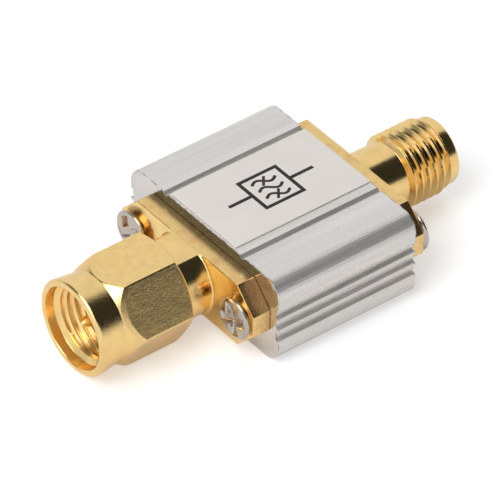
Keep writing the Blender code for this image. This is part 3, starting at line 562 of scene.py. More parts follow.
def extruded_metal(tint):
    """Bare aluminium as it leaves the die, dull with oxide, with lines along the sleeve.

    A painted shade darkens it in broken lines along the edges of the two sawn ends, where it
    meets a flange.
    """
    finish, tree = new_material("aluminium_extruded", tint, 0.3, 0.68)
    place = own_place(tree)
    surface = place_group(
        tree, "Drawn Surface", drawn_group, Vector=place, Lines_per_Metre=6000.0
    )
    tone = tinted(tree, spread(tree, surface["Bands"]), tint, 0.93, 1.05)
    pits = math_node(tree, "MULTIPLY", surface["Pits"], 0.45)
    dark = mix_colour(tree, pits, tone, shade(tint, 0.4))
    # Painted shade: a broken dark line just inside each sawn end stands for shade in the seam
    # where the sleeve meets a flange.
    near = past_cut(tree, add_node(tree, "SeparateXYZ", {0: place}).outputs, -0.13, -0.05)
    broken = remap(tree, noise(tree, place, 1500.0, 3.0, 0.6), 0.43, 0.60, 0.0, 0.85)
    painted_seam_shade = math_node(tree, "MULTIPLY", near, broken)
    tone = mix_colour(tree, painted_seam_shade, dark, shade(tint, 0.2))
    rough = spread(tree, surface["Lines"], 0.22, 0.42, 0.15)
    return dress(finish, tone, rough, surface["Lines"], 0.03)


def sawn_metal(tint):
    """Aluminium where the saw cut it: brighter, with faint marks across the face."""
    finish, tree = new_material("aluminium_sawn", shade(tint, 0.9)[:3], 0.14, 1.0)
    place = own_place(tree)
    lines = noise(tree, stretched(tree, place, (1.0, 0.15, 1.0)), 6000.0, 3.0, 0.6)
    tone = tinted(tree, spread(tree, noise(tree, place, 700.0, 3.0)), tint, 0.82, 0.95)
    return dress(finish, tone, spread(tree, lines, 0.08, 0.2), lines, 0.0012)


def label_film(tint):
    """Satin printable film."""
    finish, tree = new_material("label_film", tint, 0.48, 0.0)
    fibre = noise(tree, own_place(tree), 5000.0, 3.0)
    wave = spread(tree, noise(tree, own_place(tree), 350.0, 1.0), reach=0.15)
    tone = tinted(tree, wave, tint, 0.985, 1.015)
    return dress(finish, tone, spread(tree, fibre, 0.42, 0.55), fibre, 0.002)


def speckled(name, tint, roughness, per_metre, contrast, metallic=0.0):
    """A plain moulded, fired or soldered surface with a fine speckle."""
    finish, tree = new_material(name, tint, roughness, metallic)
    speckle = noise(tree, own_place(tree), per_metre, 3.0)
    tone = tinted(tree, spread(tree, speckle), tint, 1 - contrast, 1 + contrast)
    rough = spread(tree, speckle, roughness * 0.85, roughness * 1.15)
    return dress(finish, tone, rough, speckle, 0.002)


SAW_PERIODS = np.array([0.31, 0.53, 0.87, 1.9]) * MM
CAVITY_ROOF = 1.3 * MM
CAVITY_CORNER = 0.5 * MM
CARD_SLOT = 0.2 * MM
SCREW_PORT = 0.98 * MM


def sleeve_outline(sizes):
    """Outline of the extrusion as (Y, Z) points, anticlockwise.

    Straight lines join the corners of the grooves, and each corner is an arc.
    """
    side, top = SLEEVE_SIDE, SLEEVE_TOP
    floor = side - sizes.groove_depth
    pitch = sizes.groove_width + sizes.rib_width
    corners = [(side, -top)]
    radii = [sizes.corner_radius]
    for index in (-1, 0, 1):
        low = index * pitch - sizes.groove_width / 2
        high = index * pitch + sizes.groove_width / 2
        corners += [(side, low), (floor, low), (floor, high), (side, high)]
        radii += [sizes.edge_round] * 4
    near, far = sizes.v_place - sizes.v_half_width, sizes.v_place + sizes.v_half_width
    corners += [(side, top), (far, top), (sizes.v_place, top - sizes.v_depth), (near, top)]
    radii += [sizes.corner_radius] + [sizes.edge_round] * 3
    right = np.array(corners)
    outline = np.concatenate([right, right[::-1] * (-1.0, 1.0)])
    return rounded_corners(outline, radii + radii[::-1], 8)


def outward(outline):
    """Unit normals of a closed anticlockwise outline, from its neighbours' chord."""
    chord = np.roll(outline, -1, axis=0) - np.roll(outline, 1, axis=0)
    return unit(np.stack([chord[:, 1], -chord[:, 0]], axis=-1))


def uneven(outline, seed, periods):
    """A repeatable uneven line along an outline: a sum of sines of the given periods."""
    steps = np.linalg.norm(np.roll(outline, -1, axis=0) - outline, axis=-1)
    distance = np.concatenate([[0.0], np.cumsum(steps)[:-1]])
    draw = np.random.default_rng(seed)
    total = np.zeros_like(distance)
    for period in periods:
        total += np.sin(distance * 2 * math.pi / period + draw.uniform(0, 2 * math.pi))
    return total / len(periods)


def sleeve_rings(sizes):
    """Rings of the sleeve's outside from the plug's end to the jack's.

    Near an end, at a distance d from the cut, the outline draws in by
    r - sqrt(r^2 - (r - d)^2). A burr pushes it out again just inside the cut.
    """
    outline = sleeve_outline(sizes)
    normals = outward(outline)
    rounding = sizes.end_round
    depth = rounding * np.array([0.0, 0.12, 0.35, 0.65, 1.0, 1.6])
    left = np.maximum(rounding - depth, 0)
    inset = (rounding - np.sqrt(np.maximum(rounding**2 - left**2, 0)))[:, None, None]
    bulge = (np.array([0.2, 1.0, 0.8, 0.15, 0.0, 0.0]) * sizes.burr)[:, None, None]
    ends = []
    for seed, cut, towards in ((3, SLEEVE_LOW.x, 1), (5, SLEEVE_HIGH.x, -1)):
        lip = np.clip(uneven(outline, seed, SAW_PERIODS), 0.0, 1.0)[:, None]
        flat = outline + normals * (lip * bulge * 2 - inset)
        ends.append(cross_sections(cut + towards * depth, flat)[::towards])
    return np.concatenate(ends)


def sleeve_holes():
    """Outlines of the cavity and of the two screw ports."""
    low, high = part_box("plug_screw_right")
    port = abs((low.y + high.y) / 2)
    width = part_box("circuit_board")[1].y - CARD_SLOT
    height = SLEEVE_TOP - CAVITY_ROOF
    box = [(width, -height), (width, height), (-width, height), (-width, -height)]
    angles = full_turn(24)
    circle = np.stack([np.cos(angles), np.sin(angles)], axis=-1) * SCREW_PORT
    return rounded_corners(box, CAVITY_CORNER, 4), circle - (port, 0.0), circle + (port, 0.0)


class FILTER_OT_sleeve(bpy.types.Operator):
    """Build the extruded aluminium sleeve"""

    bl_idname = "filter.sleeve"
    bl_label = "Sleeve"

    def execute(self, context):
        sizes = context.scene.filter_sleeve
        cuts = (SLEEVE_LOW.x, SLEEVE_HIGH.x)
        shells = [shell(sleeve_rings(sizes))]
        shells += [shell(cross_sections(cuts, hole)) for hole in sleeve_holes()]
        shape = new_piece("sleeve", shells, extruded_metal(sizes.tint), open_ends=True)
        sawn = sawn_metal(sizes.tint)
        second_finish(shape, sawn, lambda places, facing: np.abs(facing[:, 0]) > 0.9)
        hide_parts("housing")
        return {"FINISHED"}


def flange_rings(low, sizes):
    """Rings of a flange plate from its low face to its high face.

    Eight corners joined by straight lines, each a small arc. Near a face the outline
    draws in by the rounding of the edge.
    """
    high = low + FLANGE_THICKNESS
    cut = sizes.flange_chamfer
    side, top = FLANGE_SIDE, FLANGE_TOP
    right = [(side - cut, -top), (side, -top + cut), (side, top - cut), (side - cut, top)]
    left = [(-y, z) for y, z in reversed(right)]
    outline = rounded_corners(right + left, sizes.edge_round, 4)
    turn = np.linspace(0.0, math.pi / 2, 5)
    depth = sizes.edge_round * (1 - np.cos(turn))
    inset = sizes.edge_round * (1 - np.sin(turn))
    places = np.concatenate([low + depth, high - depth[::-1]])
    shrink = np.concatenate([inset, inset[::-1]])[:, None, None]
    return cross_sections(places, outline - outward(outline) * shrink)


def mill_edges(shape, low, sizes):
    """Give the narrow faces of the flange plate that starts at low their milled finish."""
    milled = bpy.data.materials.get("gold_plating_milled") or milled_plating(sizes.gold)

    def narrow(places, facing):
        inside = (places[:, 0] > low) & (places[:, 0] < low + FLANGE_THICKNESS)
        return inside & (np.abs(facing[:, 0]) < 0.9)

    second_finish(shape, milled, narrow)


BOSS_RADIUS = 3.35 * MM
BOSS_FILLET = 0.25 * MM
BOSS_GAP = 0.12 * MM
BOSS_END_INSET = 1.3 * MM
BOSS_DIVE = 0.1 * MM
NECK_LENGTH = 2.6 * MM
NECK_RADIUS = 2.75 * MM
RING_GROOVE_RADIUS = 2.40 * MM
CONTACT_RADIUS = 2.28 * MM


def boss_rings(sizes, angles):
    """Rings of the boss between the flange and the nut.

    A round bar of radius R cut by two flats at the flange's own height h: at the angle a
    its radius is the smaller of R and h / |sin a|. A fillet widens it at the flange. Its
    flats meet the flange's top just past the rounded edge, and dive under it there.
    """
    end = NUT_HIGH.x + BOSS_GAP
    turn = np.linspace(0.0, math.pi / 2, 7)
    edge = np.linspace(0.0, math.pi / 2, 4)
    rounding = sizes.edge_round
    places = [
        PLUG_FACE + np.array([3.0, 1.0]) * rounding,
        PLUG_FACE - BOSS_FILLET * (1 - np.cos(turn)),
        end + rounding * (1 - np.sin(edge)),
        [end],
    ]
    widen = [
        [BOSS_FILLET, BOSS_FILLET],
        BOSS_FILLET * (1 - np.sin(turn)),
        -rounding * (1 - np.cos(edge)),
        [-BOSS_END_INSET],
    ]
    places = np.concatenate(places)[:, None]
    widen = np.concatenate(widen)[:, None]
    sink = np.zeros_like(places)
    sink[0] = BOSS_DIVE
    flat = FLANGE_TOP / np.maximum(np.abs(np.sin(angles)), 1e-6)
    radius = np.minimum(BOSS_RADIUS + widen, flat + np.minimum(widen, 0) - sink)
    return turned(places, radius, angles)


def plug_barrel(angles):
    """Places of the neck, the ring groove and the outer contact, with the bore."""
    front = PLUG_LOW.x
    inside = DIELECTRIC_HIGH.x - 1.0 * MM
    profile = [
        (inside, LINE_BORE),
        (inside, NECK_RADIUS),
        (RING_GROOVE_REAR, NECK_RADIUS),
        (RING_GROOVE_REAR, RING_GROOVE_RADIUS),
        (RING_GROOVE_FRONT, RING_GROOVE_RADIUS),
        (RING_GROOVE_FRONT, NECK_RADIUS),
        (front + NECK_LENGTH, NECK_RADIUS),
        (front + NECK_LENGTH, CONTACT_RADIUS),
        (front, CONTACT_RADIUS),
        (front, LINE_BORE),
    ]
    edges = np.array([0.01, 0.05, 0.03, 0.02, 0.02, 0.03, 0.15, 0.06, 0.1, 0.05]) * MM
    return turned(*rounded_corners(profile, edges, 5).T, angles[:, None])


class FILTER_OT_plug(bpy.types.Operator):
    """Build the plug: flange, boss, neck and outer contact"""

    bl_idname = "filter.plug"
    bl_label = "Plug"

    def execute(self, context):
        sizes = context.scene.filter_connectors
        angles = full_turn(sizes.steps)
        shells = (
            shell(flange_rings(PLUG_FACE, sizes), caps=True),
            shell(boss_rings(sizes, angles), caps=True),
            shell(plug_barrel(angles), rows_meet=True),
        )
        shape = new_piece("plug_body", shells, gold_finish(sizes))
        mill_edges(shape, PLUG_FACE, sizes)
        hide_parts("plug_flange")
        return {"FINISHED"}


THREAD_ROUND = 0.016 * MM
THREAD_RUN = 0.28 * MM


def thread_shell(sizes, angles, start, end, foot, height, begin):
    """A helical thread: one row for each angle and one column for each point.

    The profile of one pitch is a flat root, a straight flank, a flat crest and a flank
    back, repeated along X. At the angle a it stands a / full turn of a pitch further on, so
    a right-hand crest moves along +X as the angle grows, and the last row meets the first
    a pitch further on. Places are held between start and end. Over a short run the profile
    blends into the share begin of its height at the start, and into its foot at the end.
    """
    pitch = sizes.thread_pitch
    root = (pitch - sizes.thread_crest) / 2 - sizes.thread_flank
    rise = root + sizes.thread_flank
    crest = [(rise, height), (pitch - rise, height)]
    corners = [(0, 0), (root, 0), *crest, (pitch - root, 0), (pitch, 0)]
    path = rounded_corners(corners, THREAD_ROUND, 2, closed=False)[:-1]
    turns = math.ceil((end - start) / pitch) + 2
    place = (path[:, 0] + pitch * np.arange(turns)[:, None]).ravel()
    along = start - pitch + place + (angles / (2 * math.pi) * pitch)[:, None]
    share = np.tile(path[:, 1] / height, turns)
    share = begin + (share - begin) * np.clip((along - start) / THREAD_RUN, 0.0, 1.0)
    share = share * np.clip((end - along) / THREAD_RUN, 0.0, 1.0)
    grid = turned(np.clip(along, start, end), foot + height * share, angles[:, None])
    places, faces = shell(grid, columns_meet=False)
    rows, columns = along.shape
    there = np.arange(columns - len(path) - 1)
    here = there + (rows - 1) * columns
    there = there + len(path)
    seam = np.stack([here, here + 1, there + 1, there], axis=-1)
    return places, faces + seam.tolist()


def hex_radius(angles, across_flats, rounding):
    """Distance of a hexagon's side from its middle, with round corners.

    A flat at half the width a is at a / cos t, where t is the angle from the flat's
    middle. Past the rounding's start it is the arc of radius r about the point
    (a - r) / cos 30 from the middle, at the angle s from the corner.
    """
    half = across_flats / 2
    tilt = np.mod(angles, math.pi / 3) - math.pi / 6
    flat = half / np.cos(tilt)
    centre = (half - rounding) / math.cos(math.pi / 6)
    away = math.pi / 6 - np.abs(tilt)
    chord = np.sqrt(np.maximum(rounding**2 - (centre * np.sin(away)) ** 2, 0))
    start = math.atan((half - rounding) * math.tan(math.pi / 6) / half)
    return np.where(np.abs(tilt) > start, centre * np.cos(away) + chord, flat)


def hex_angles(count):
    """Angles round the nut, crowded near its six long edges.

    In each sixth of a turn the angle is t + c sin(6 t), whose steps are shortest where
    the corners are.
    """
    even = full_turn(count - count % 6)
    return even - 0.14 * np.sin(6 * even)


NUT_HEX_LENGTH = 6.3 * MM
NUT_BORE = 3.0 * MM
NUT_REAR_BORE = 2.81 * MM
NUT_RING_SPACE = 3.25 * MM
NUT_WAIST = 3.84 * MM
NUT_CONE_RUN = 1.49
NUT_WORN_DIP = 0.10 * MM
NUT_WORN_LENGTH = 0.48 * MM
NUT_RIM = 4.05 * MM
NUT_RIM_LENGTH = 0.3 * MM
NUT_REAR_RIM = 3.75 * MM
NUT_REAR_CONE = 0.55 * MM
NUT_CONE_END = 4.684 * MM
NUT_MOUTH = 3.45 * MM
NUT_MOUTH_DEPTH = 0.85 * MM
NUT_THREAD_START = NUT_LOW.x + 1.15 * MM
NUT_THREAD_END = NUT_THREAD_START + 3.42 * MM


def nut_hexagon(sizes, angles):
    """Meridians of the hexagon between the rear face and the waist, one for each angle.

    The cones of the two turned chamfers meet the flats where the cone's radius equals the
    hexagon's, so the places of those corners change with the angle. Towards the front cone
    each flat and each long edge is worn: it dips a little over a short length.
    """
    rear = NUT_HIGH.x
    waist = rear - NUT_HEX_LENGTH
    corner = hex_radius(angles, sizes.across_flats, sizes.hex_corner)
    rear_slope = NUT_REAR_CONE / (NUT_CONE_END - NUT_REAR_RIM)
    drop = corner - NUT_WORN_DIP - NUT_WAIST
    front = waist + drop * NUT_CONE_RUN
    table = [
        (NUT_THREAD_END, NUT_BORE, 0.0),
        (RING_GROOVE_FRONT, NUT_BORE, 0.03 * MM),
        (RING_GROOVE_FRONT, NUT_RING_SPACE, 0.03 * MM),
        (RING_GROOVE_REAR, NUT_RING_SPACE, 0.03 * MM),
        (RING_GROOVE_REAR, NUT_REAR_BORE, 0.03 * MM),
        (rear, NUT_REAR_BORE, 0.08 * MM),
        (rear, NUT_REAR_RIM, 0.12 * MM),
        (rear - (corner - NUT_REAR_RIM) * rear_slope, corner, 0.18 * MM),
        (front + NUT_WORN_LENGTH, corner, 0.3 * MM),
        (front, corner - NUT_WORN_DIP, np.minimum(0.4 * MM, 4 * drop)),
        (waist, NUT_WAIST, 0.05 * MM),
        (waist - 0.2 * MM, NUT_WAIST, 0.0),
    ]
    rows = [np.stack(np.broadcast_arrays(angles, *row)[1:], axis=-1) for row in table]
    table = np.stack(rows, axis=1)
    return rounded_corners(table[..., :2], table[..., 2], 6, closed=False)


def nut_collar():
    """Meridian of the nut's round front: a straight collar that flares, and the mouth."""
    front = NUT_LOW.x
    mouth = [
        (front + NUT_RIM_LENGTH, NUT_RIM),
        (front, NUT_RIM),
        (front, NUT_MOUTH),
        (front + NUT_MOUTH_DEPTH, NUT_MOUTH),
        (NUT_THREAD_START, NUT_BORE),
    ]
    return rounded_corners(mouth, np.array([0.0, 0.29, 0.12, 0.08, 0.0]) * MM, 7, closed=False)


def nut_shells(sizes):
    """The nut's outside with its mouth, and its inner thread, which close each other."""
    angles = hex_angles(sizes.steps * 3 // 2)
    collar = nut_collar()
    collar = np.broadcast_to(collar, (len(angles), *collar.shape))
    outside = np.concatenate([nut_hexagon(sizes, angles), collar], axis=1)
    grid = turned(outside[..., 0], outside[..., 1], angles[:, None])
    ends = (NUT_THREAD_START, NUT_THREAD_END)
    thread = thread_shell(sizes, angles, *ends, NUT_BORE, sizes.nut_thread_depth, 0.0)
    return shell(grid, rows_meet=True, columns_meet=False), thread


def on_flats(places, facing):
    """Faces that lie in one of the nut's six flats, behind the worn front of each."""
    tilt = np.mod(np.arctan2(facing[:, 2], facing[:, 1]), math.pi / 3) - math.pi / 6
    level = (np.abs(facing[:, 0]) < 0.05) & (np.abs(tilt) < math.radians(8.0))
    radius = np.hypot(places[:, 1], places[:, 2] - AXIS_HEIGHT)
    front = NUT_HIGH.x - NUT_HEX_LENGTH + (radius - NUT_WORN_DIP - NUT_WAIST) * NUT_CONE_RUN
    return level & (radius > NUT_WAIST) & (places[:, 0] > front + NUT_WORN_LENGTH)


class FILTER_OT_coupling_nut(bpy.types.Operator):
    """Build the hex coupling nut with its inner thread"""

    bl_idname = "filter.coupling_nut"
    bl_label = "Coupling Nut"

    def execute(self, context):
        sizes = context.scene.filter_connectors
        lathe = plated("gold_plating_turned", sizes.gold, 0.15, 0.014, 6000.0, 1.5)
        shape = new_piece("coupling_nut_skin", nut_shells(sizes), lathe, NUT_BODY)
        texture = (0.12, 0.013, 5200.0, 1.8, 1500.0, 0.06)
        second_finish(shape, plated("gold_plating_tumbled", sizes.gold, *texture), on_flats)
        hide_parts("coupling_nut")
        return {"FINISHED"}


JACK_NECK = 2.7 * MM
JACK_LEAD = 2.85 * MM
JACK_MOUTH = 2.32 * MM
JACK_MOUTH_DEPTH = 1.95 * MM
JACK_CREST = (JACK_HIGH.z - JACK_LOW.z) / 2
JACK_BARREL_START = JACK_FACE + 3.1 * MM
JACK_CHAMFER_END = JACK_BARREL_START + 0.26 * MM
JACK_THREAD_START = JACK_CHAMFER_END + 0.07 * MM
JACK_THREAD_END = JACK_HIGH.x - 0.9 * MM


def jack_shells(sizes):
    """The jack's turned shape from its lead round to its neck, and its outer thread."""
    angles = full_turn(sizes.steps)
    front = JACK_HIGH.x
    step = front - JACK_MOUTH_DEPTH
    buried = JACK_FACE - 1.0 * MM
    foot = JACK_CREST - sizes.jack_thread_depth
    path = [
        (JACK_THREAD_END, foot),
        (JACK_THREAD_END + 0.03 * MM, JACK_LEAD),
        (front, JACK_LEAD),
        (front, JACK_MOUTH),
        (step, JACK_MOUTH),
        (step, LINE_BORE),
        (buried, LINE_BORE),
        (buried, JACK_NECK),
        (JACK_BARREL_START, JACK_NECK),
        (JACK_CHAMFER_END, JACK_CREST),
        (JACK_THREAD_START, JACK_CREST),
    ]
    edges = np.array([0.0, 0.02, 0.15, 0.1, 0.05, 0.03, 0.02, 0.02, 0.06, 0.05, 0.0]) * MM
    around = turned(*rounded_corners(path, edges, 5, closed=False).T, angles[:, None])
    ends = (JACK_THREAD_START, JACK_THREAD_END)
    thread = thread_shell(sizes, angles, *ends, foot, sizes.jack_thread_depth, 1.0)
    return shell(around, rows_meet=True, columns_meet=False), thread


def on_jack_thread(places, facing):
    """Faces of the jack's threaded barrel."""
    return (places[:, 0] > JACK_BARREL_START) & (places[:, 0] < JACK_THREAD_END)


class FILTER_OT_jack(bpy.types.Operator):
    """Build the jack: flange, neck, threaded barrel and lead"""

    bl_idname = "filter.jack"
    bl_label = "Jack"

    def execute(self, context):
        sizes = context.scene.filter_connectors
        plate = shell(flange_rings(JACK_LOW.x, sizes), caps=True)
        shape = new_piece("jack_body", (plate, *jack_shells(sizes)), gold_finish(sizes))
        mill_edges(shape, JACK_LOW.x, sizes)
        bright = plated("gold_plating_bright", sizes.gold, 0.09, 0.002)
        second_finish(shape, bright, on_jack_thread)
        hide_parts("jack_flange")
        return {"FINISHED"}


def refined(node, name, material, bevel):
    """A copy of a node with its small edges rounded by a bevel, in mm, in its place."""
    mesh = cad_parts[node].data.copy()
    mesh.name = name
    mesh.materials.clear()
    mesh.materials.append(material)
    shape = new_object(name, mesh)
    solid = bmesh.new()
    solid.from_mesh(mesh)
    bmesh.ops.remove_doubles(solid, verts=solid.verts, dist=MERGE_DISTANCE)
    flat = math.radians(1.0)
    bmesh.ops.dissolve_limit(solid, angle_limit=flat, verts=solid.verts, edges=solid.edges)
    solid.to_mesh(mesh)
    solid.free()
    edge = shape.modifiers.new("Edge Rounding", "BEVEL")
    edge.width = bevel * MM
    edge.segments = 2
    edge.limit_method = "ANGLE"
    edge.angle_limit = math.radians(35.0)
    edge.use_clamp_overlap = True
    shade_shape(shape, SMOOTH_ANGLE, 50)
    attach(shape, FIXED_BODY)
    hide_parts(node)


class FILTER_OT_contacts(bpy.types.Operator):
    """Finish the pin, the socket and the two dielectrics"""

    bl_idname = "filter.contacts"
    bl_label = "Contacts and Dielectrics"

    def execute(self, context):
        gold = gold_finish(context.scene.filter_connectors)
        white = speckled("fluoropolymer", (0.84, 0.83, 0.80), 0.42, 4000.0, 0.02)
        refined("centre_pin", "plug_pin", gold, 0.02)
        refined("socket_contact", "jack_socket", gold, 0.015)
        refined("plug_dielectric", "plug_insulator", white, 0.03)
        refined("jack_dielectric", "jack_insulator", white, 0.03)
        return {"FINISHED"}


SCREW_TURNS = {
    "plug_screw_right": -16.5,
    "plug_screw_left": 62.0,
    "jack_screw_right": 35.0,
    "jack_screw_left": 8.0,
}
HEAD_RADIUS = 1.8 * MM
HEAD_HEIGHT = 0.8 * MM
HEAD_RIM = 0.45 * MM
SEAT_RADIUS = 1.50 * MM
SHANK_RADIUS = 0.95 * MM
SHANK_TIP = 0.3 * MM
CROSS_REACH = 1.42 * MM
CROSS_DEPTH = 0.62 * MM
CROSS_HALF_WIDTH = 0.40 * MM
CROSS_WALL = 0.14 * MM


def cross_arm(reach, side):
    """Depth of one arm of a cross recess, along its length and across it.

    It is D (1 - s / L)^0.55 deep at the distance s from the middle. Its sides fall over
    the wall's width, by the share 3 t^2 - 2 t^3 of the way t.
    """
    floor = CROSS_DEPTH * np.clip(1 - np.abs(reach) / CROSS_REACH, 0.0, 1.0) ** 0.55
    edge = CROSS_HALF_WIDTH + CROSS_WALL / 2
    share = np.clip((np.abs(side) - (edge - CROSS_WALL)) / CROSS_WALL, 0.0, 1.0)
    return floor * (1 - share * share * (3 - 2 * share))


def screw_rings(low, high, towards, turn):
    """Rings of a pan-head screw between two places along X, from the middle of its head.

    The dome is half an ellipse: its height over the seat is h + (H - h) cos t at the
    radius R sin t. Below its widest place the head draws in to its seat. The deeper of
    two crossed arms is cut out of the dome.
    """
    angles = full_turn(132)
    lean = np.arcsin(np.linspace(0.0, 0.8, 30))
    lean = np.concatenate([lean, np.linspace(lean[-1], math.pi / 2, 9)[1:]])
    rise = HEAD_RIM + (HEAD_HEIGHT - HEAD_RIM) * np.cos(lean)
    reach = high - low - HEAD_HEIGHT
    under = [
        (HEAD_RADIUS, HEAD_RIM),
        (HEAD_RADIUS - 0.03 * MM, 0.36 * MM),
        (SEAT_RADIUS, 0.0),
        (SHANK_RADIUS, 0.0),
        (SHANK_RADIUS, SHANK_TIP - reach),
        (SHANK_RADIUS - SHANK_TIP, -reach),
        (0.0, -reach),
    ]
    edges = np.array([0.0, 0.06, 0.04, 0.04, 0.02, 0.02, 0.0]) * MM
    foot = rounded_corners(under, edges, 4, closed=False)[1:]
    radius = np.concatenate([HEAD_RADIUS * np.sin(lean), foot[:, 0]])[:, None]
    height = np.concatenate([rise, foot[:, 1]])[:, None]
    across = radius * np.cos(angles - turn)
    upward = radius * np.sin(angles - turn)
    recess = np.maximum(cross_arm(across, upward), cross_arm(upward, across))
    recess[len(lean):] = 0.0
    seat = (high if towards > 0 else low) - towards * HEAD_HEIGHT
    return turned(seat + towards * (height - recess), radius, angles)


class FILTER_OT_screws(bpy.types.Operator):
    """Build the four pan-head screws with their cross recesses"""

    bl_idname = "filter.screws"
    bl_label = "Screws"

    def execute(self, context):
        sizes = context.scene.filter_connectors
        dull = plated("nickel_plating", sizes.nickel, 0.15, 0.003)
        for node, turn in SCREW_TURNS.items():
            low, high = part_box(node)
            towards = 1.0 if low.x > SLEEVE_MIDDLE else -1.0
            rings = screw_rings(low.x, high.x, towards, math.radians(turn))
            rings[..., 1] += (low.y + high.y) / 2
            sharp = math.radians(70.0)
            shape = new_piece(node + "_finished", [shell(rings)], dull, sharp=sharp)
            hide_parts(node)
        return {"FINISHED"}


WAVE_REACH = 0.62
WAVE_LEVEL = 0.52
WAVE_HEIGHT = 0.17
WAVE_WIDTH = 0.8
SLASH_REACH = 0.2
SLASH_HEIGHT = 0.26
SLASH_WIDTH = 0.7
SIGNAL_LENGTH = 2.3 * MM


def stroke(along, across, width):
    """A flat line of even width along an open path of X and Y places.

    Each side is the path moved by half the width along its own normal.
    """
    path = np.stack(np.broadcast_arrays(along, across), axis=-1).astype(float)
    ahead = unit(np.gradient(path, axis=0))
    side = np.stack([-ahead[:, 1], ahead[:, 0]], axis=-1) * width / 2
    return np.stack([path - side, path + side], axis=1)


def sign_strokes(sizes):
    """Lines of the band-pass sign: a square, three waves, and two that are struck out.

    A wave is one period of a sine. The signal's line enters on one side and leaves on the
    other.
    """
    half = sizes.sign_size / 2
    width = sizes.line_width
    even = np.linspace(-1.0, 1.0, 41)
    strokes = []
    for level in (-1, 0, 1):
        wave = level * half * WAVE_LEVEL - np.sin(even * math.pi) * half * WAVE_HEIGHT
        strokes.append(stroke(even * half * WAVE_REACH, wave, width * WAVE_WIDTH))
    for level in (-1, 1):
        slash = level * half * WAVE_LEVEL + even * half * SLASH_HEIGHT
        strokes.append(stroke(even * half * SLASH_REACH, slash, width * SLASH_WIDTH))
    out = half + width / 2
    for side in (-half, half):
        signal = side + math.copysign(SIGNAL_LENGTH, side)
        strokes.append(stroke(side, (-out, out), width))
        strokes.append(stroke((-out, out), side, width))
        strokes.append(stroke((side, signal), 0.0, width))
    return strokes


def printed(strip, index, thickness):
    """A strip of ink half sunk in the label, each a little thicker than the last."""
    middle = (LABEL_LOW + LABEL_HIGH) / 2
    low = np.empty((len(strip), 2, 3))
    low[..., :2] = strip + (middle.x, middle.y)
    low[..., 2] = LABEL_HIGH.z - thickness / 2
    high = low + (0.0, 0.0, thickness * (1 + 0.04 * index))
    return np.stack([low[:, 0], low[:, 1], high[:, 1], high[:, 0]], axis=1)


class FILTER_OT_label(bpy.types.Operator):
    """Finish the label and print a plain band-pass sign on it"""

    bl_idname = "filter.label"
    bl_label = "Label"

    def execute(self, context):
        sizes = context.scene.filter_label
        refined("label", "label_film_piece", label_film(sizes.film), 0.03)
        ink = speckled("label_ink", tuple(sizes.ink), 0.65, 9000.0, 0.2)
        shells = [
            shell(printed(strip, index, sizes.ink_thickness), caps=True)
            for index, strip in enumerate(sign_strokes(sizes))
        ]
        shape = new_piece("label_print", shells, ink)
        return {"FINISHED"}


INSIDE_FINISHES = {
    ("retaining_ring",): ("spring_bronze", (0.60, 0.38, 0.19), 0.3, 6000.0, 0.06, 1.0),
    ("circuit_board",): ("solder_mask", (0.03, 0.16, 0.07), 0.35, 3000.0, 0.12),
    ("filter_package",): ("fired_ceramic", (0.30, 0.27, 0.25), 0.6, 6000.0, 0.1),
    ("filter_lid",): ("gold_lid", (0.90, 0.66, 0.33), 0.25, 5000.0, 0.04, 1.0),
    ("input_inductor", "output_inductor"): (
        "coated_winding", (0.20, 0.08, 0.04), 0.5, 7000.0, 0.2,
    ),
    ("input_capacitor", "output_capacitor"): (
        "capacitor_body", (0.42, 0.30, 0.20), 0.55, 7000.0, 0.1,
    ),
    ("plug_solder", "jack_solder"): ("solder", (0.62, 0.62, 0.62), 0.25, 2500.0, 0.08, 1.0),
}


class FILTER_OT_inside(bpy.types.Operator):
    """Finish the pieces inside the sleeve"""

    bl_idname = "filter.inside"
    bl_label = "Inside"

    def execute(self, context):
        for nodes, values in INSIDE_FINISHES.items():
            finish = speckled(*values)
            for node in nodes:
                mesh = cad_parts[node].data
                mesh.materials.clear()
                mesh.materials.append(finish)
        return {"FINISHED"}


CARDS = (
    ((0.45, -0.58, 0.68), 0.845, 0.76, 0.96),
    ((-0.25, -0.68, 0.69), 0.965, 0.925, 0.88),
    ((-0.478, 0.603, 0.639), 0.95, 0.85, 0.85),
    ((-0.80, -0.48, 0.35), 0.93, 0.78, -0.25),
)
COOL_SHADE = (0.80, 0.90, 1.0, 1.0)
LAMP_PLACE = (-0.24, -0.04, 0.32)
LAMP_SIZE = 0.25
LAMP_POWER = 0.62
FLOOR_GLOW = 0.4
FLOOR_GLOW_MIRRORED = 0.14
FLOOR_RADIUS = 1.2
FLOOR_SIDES = 64


def room(stage):
    """White room with soft dark and bright cards, which the camera sees as plain white."""
    world = bpy.data.worlds.new("studio")
    bpy.context.scene.world = world
    world.use_nodes = True
    tree = world.node_tree
    tree.nodes.clear()
    direction = tree.nodes.new("ShaderNodeTexCoord").outputs["Generated"]
    light = stage.surround
    for card, inner, outer, depth in CARDS:
        place = {"Direction": direction, "Card": Vector(card).normalized()}
        limits = {"Inner": inner, "Outer": outer, "Depth": depth}
        left = place_group(tree, "Dark Card", dark_card_group, **place, **limits)
        light = math_node(tree, "MULTIPLY", left["Light"], light)
    cool = mix_colour(tree, light, COOL_SHADE, WHITE)
    lit = add_node(tree, "Background", {"Color": cool, "Strength": light}).outputs[0]
    seen = add_node(tree, "Background", {"Color": WHITE, "Strength": 1.0}).outputs[0]
    ray = tree.nodes.new("ShaderNodeLightPath").outputs["Is Camera Ray"]
    mixed = add_node(tree, "MixShader", {"Fac": ray, 1: lit, 2: seen}).outputs[0]
    add_node(tree, "OutputWorld", {"Surface": mixed})


def left_lamp(middle):
    """A square lamp that faces the middle of the sleeve."""
    data = bpy.data.lights.new("left_lamp", "AREA")
    data.shape = "SQUARE"
    data.size = LAMP_SIZE
    data.energy = LAMP_POWER
    lamp = new_object("left_lamp", data)
    lamp.location = LAMP_PLACE
    towards = middle - Vector(LAMP_PLACE)
    lamp.rotation_euler = towards.to_track_quat("-Z", "Y").to_euler()


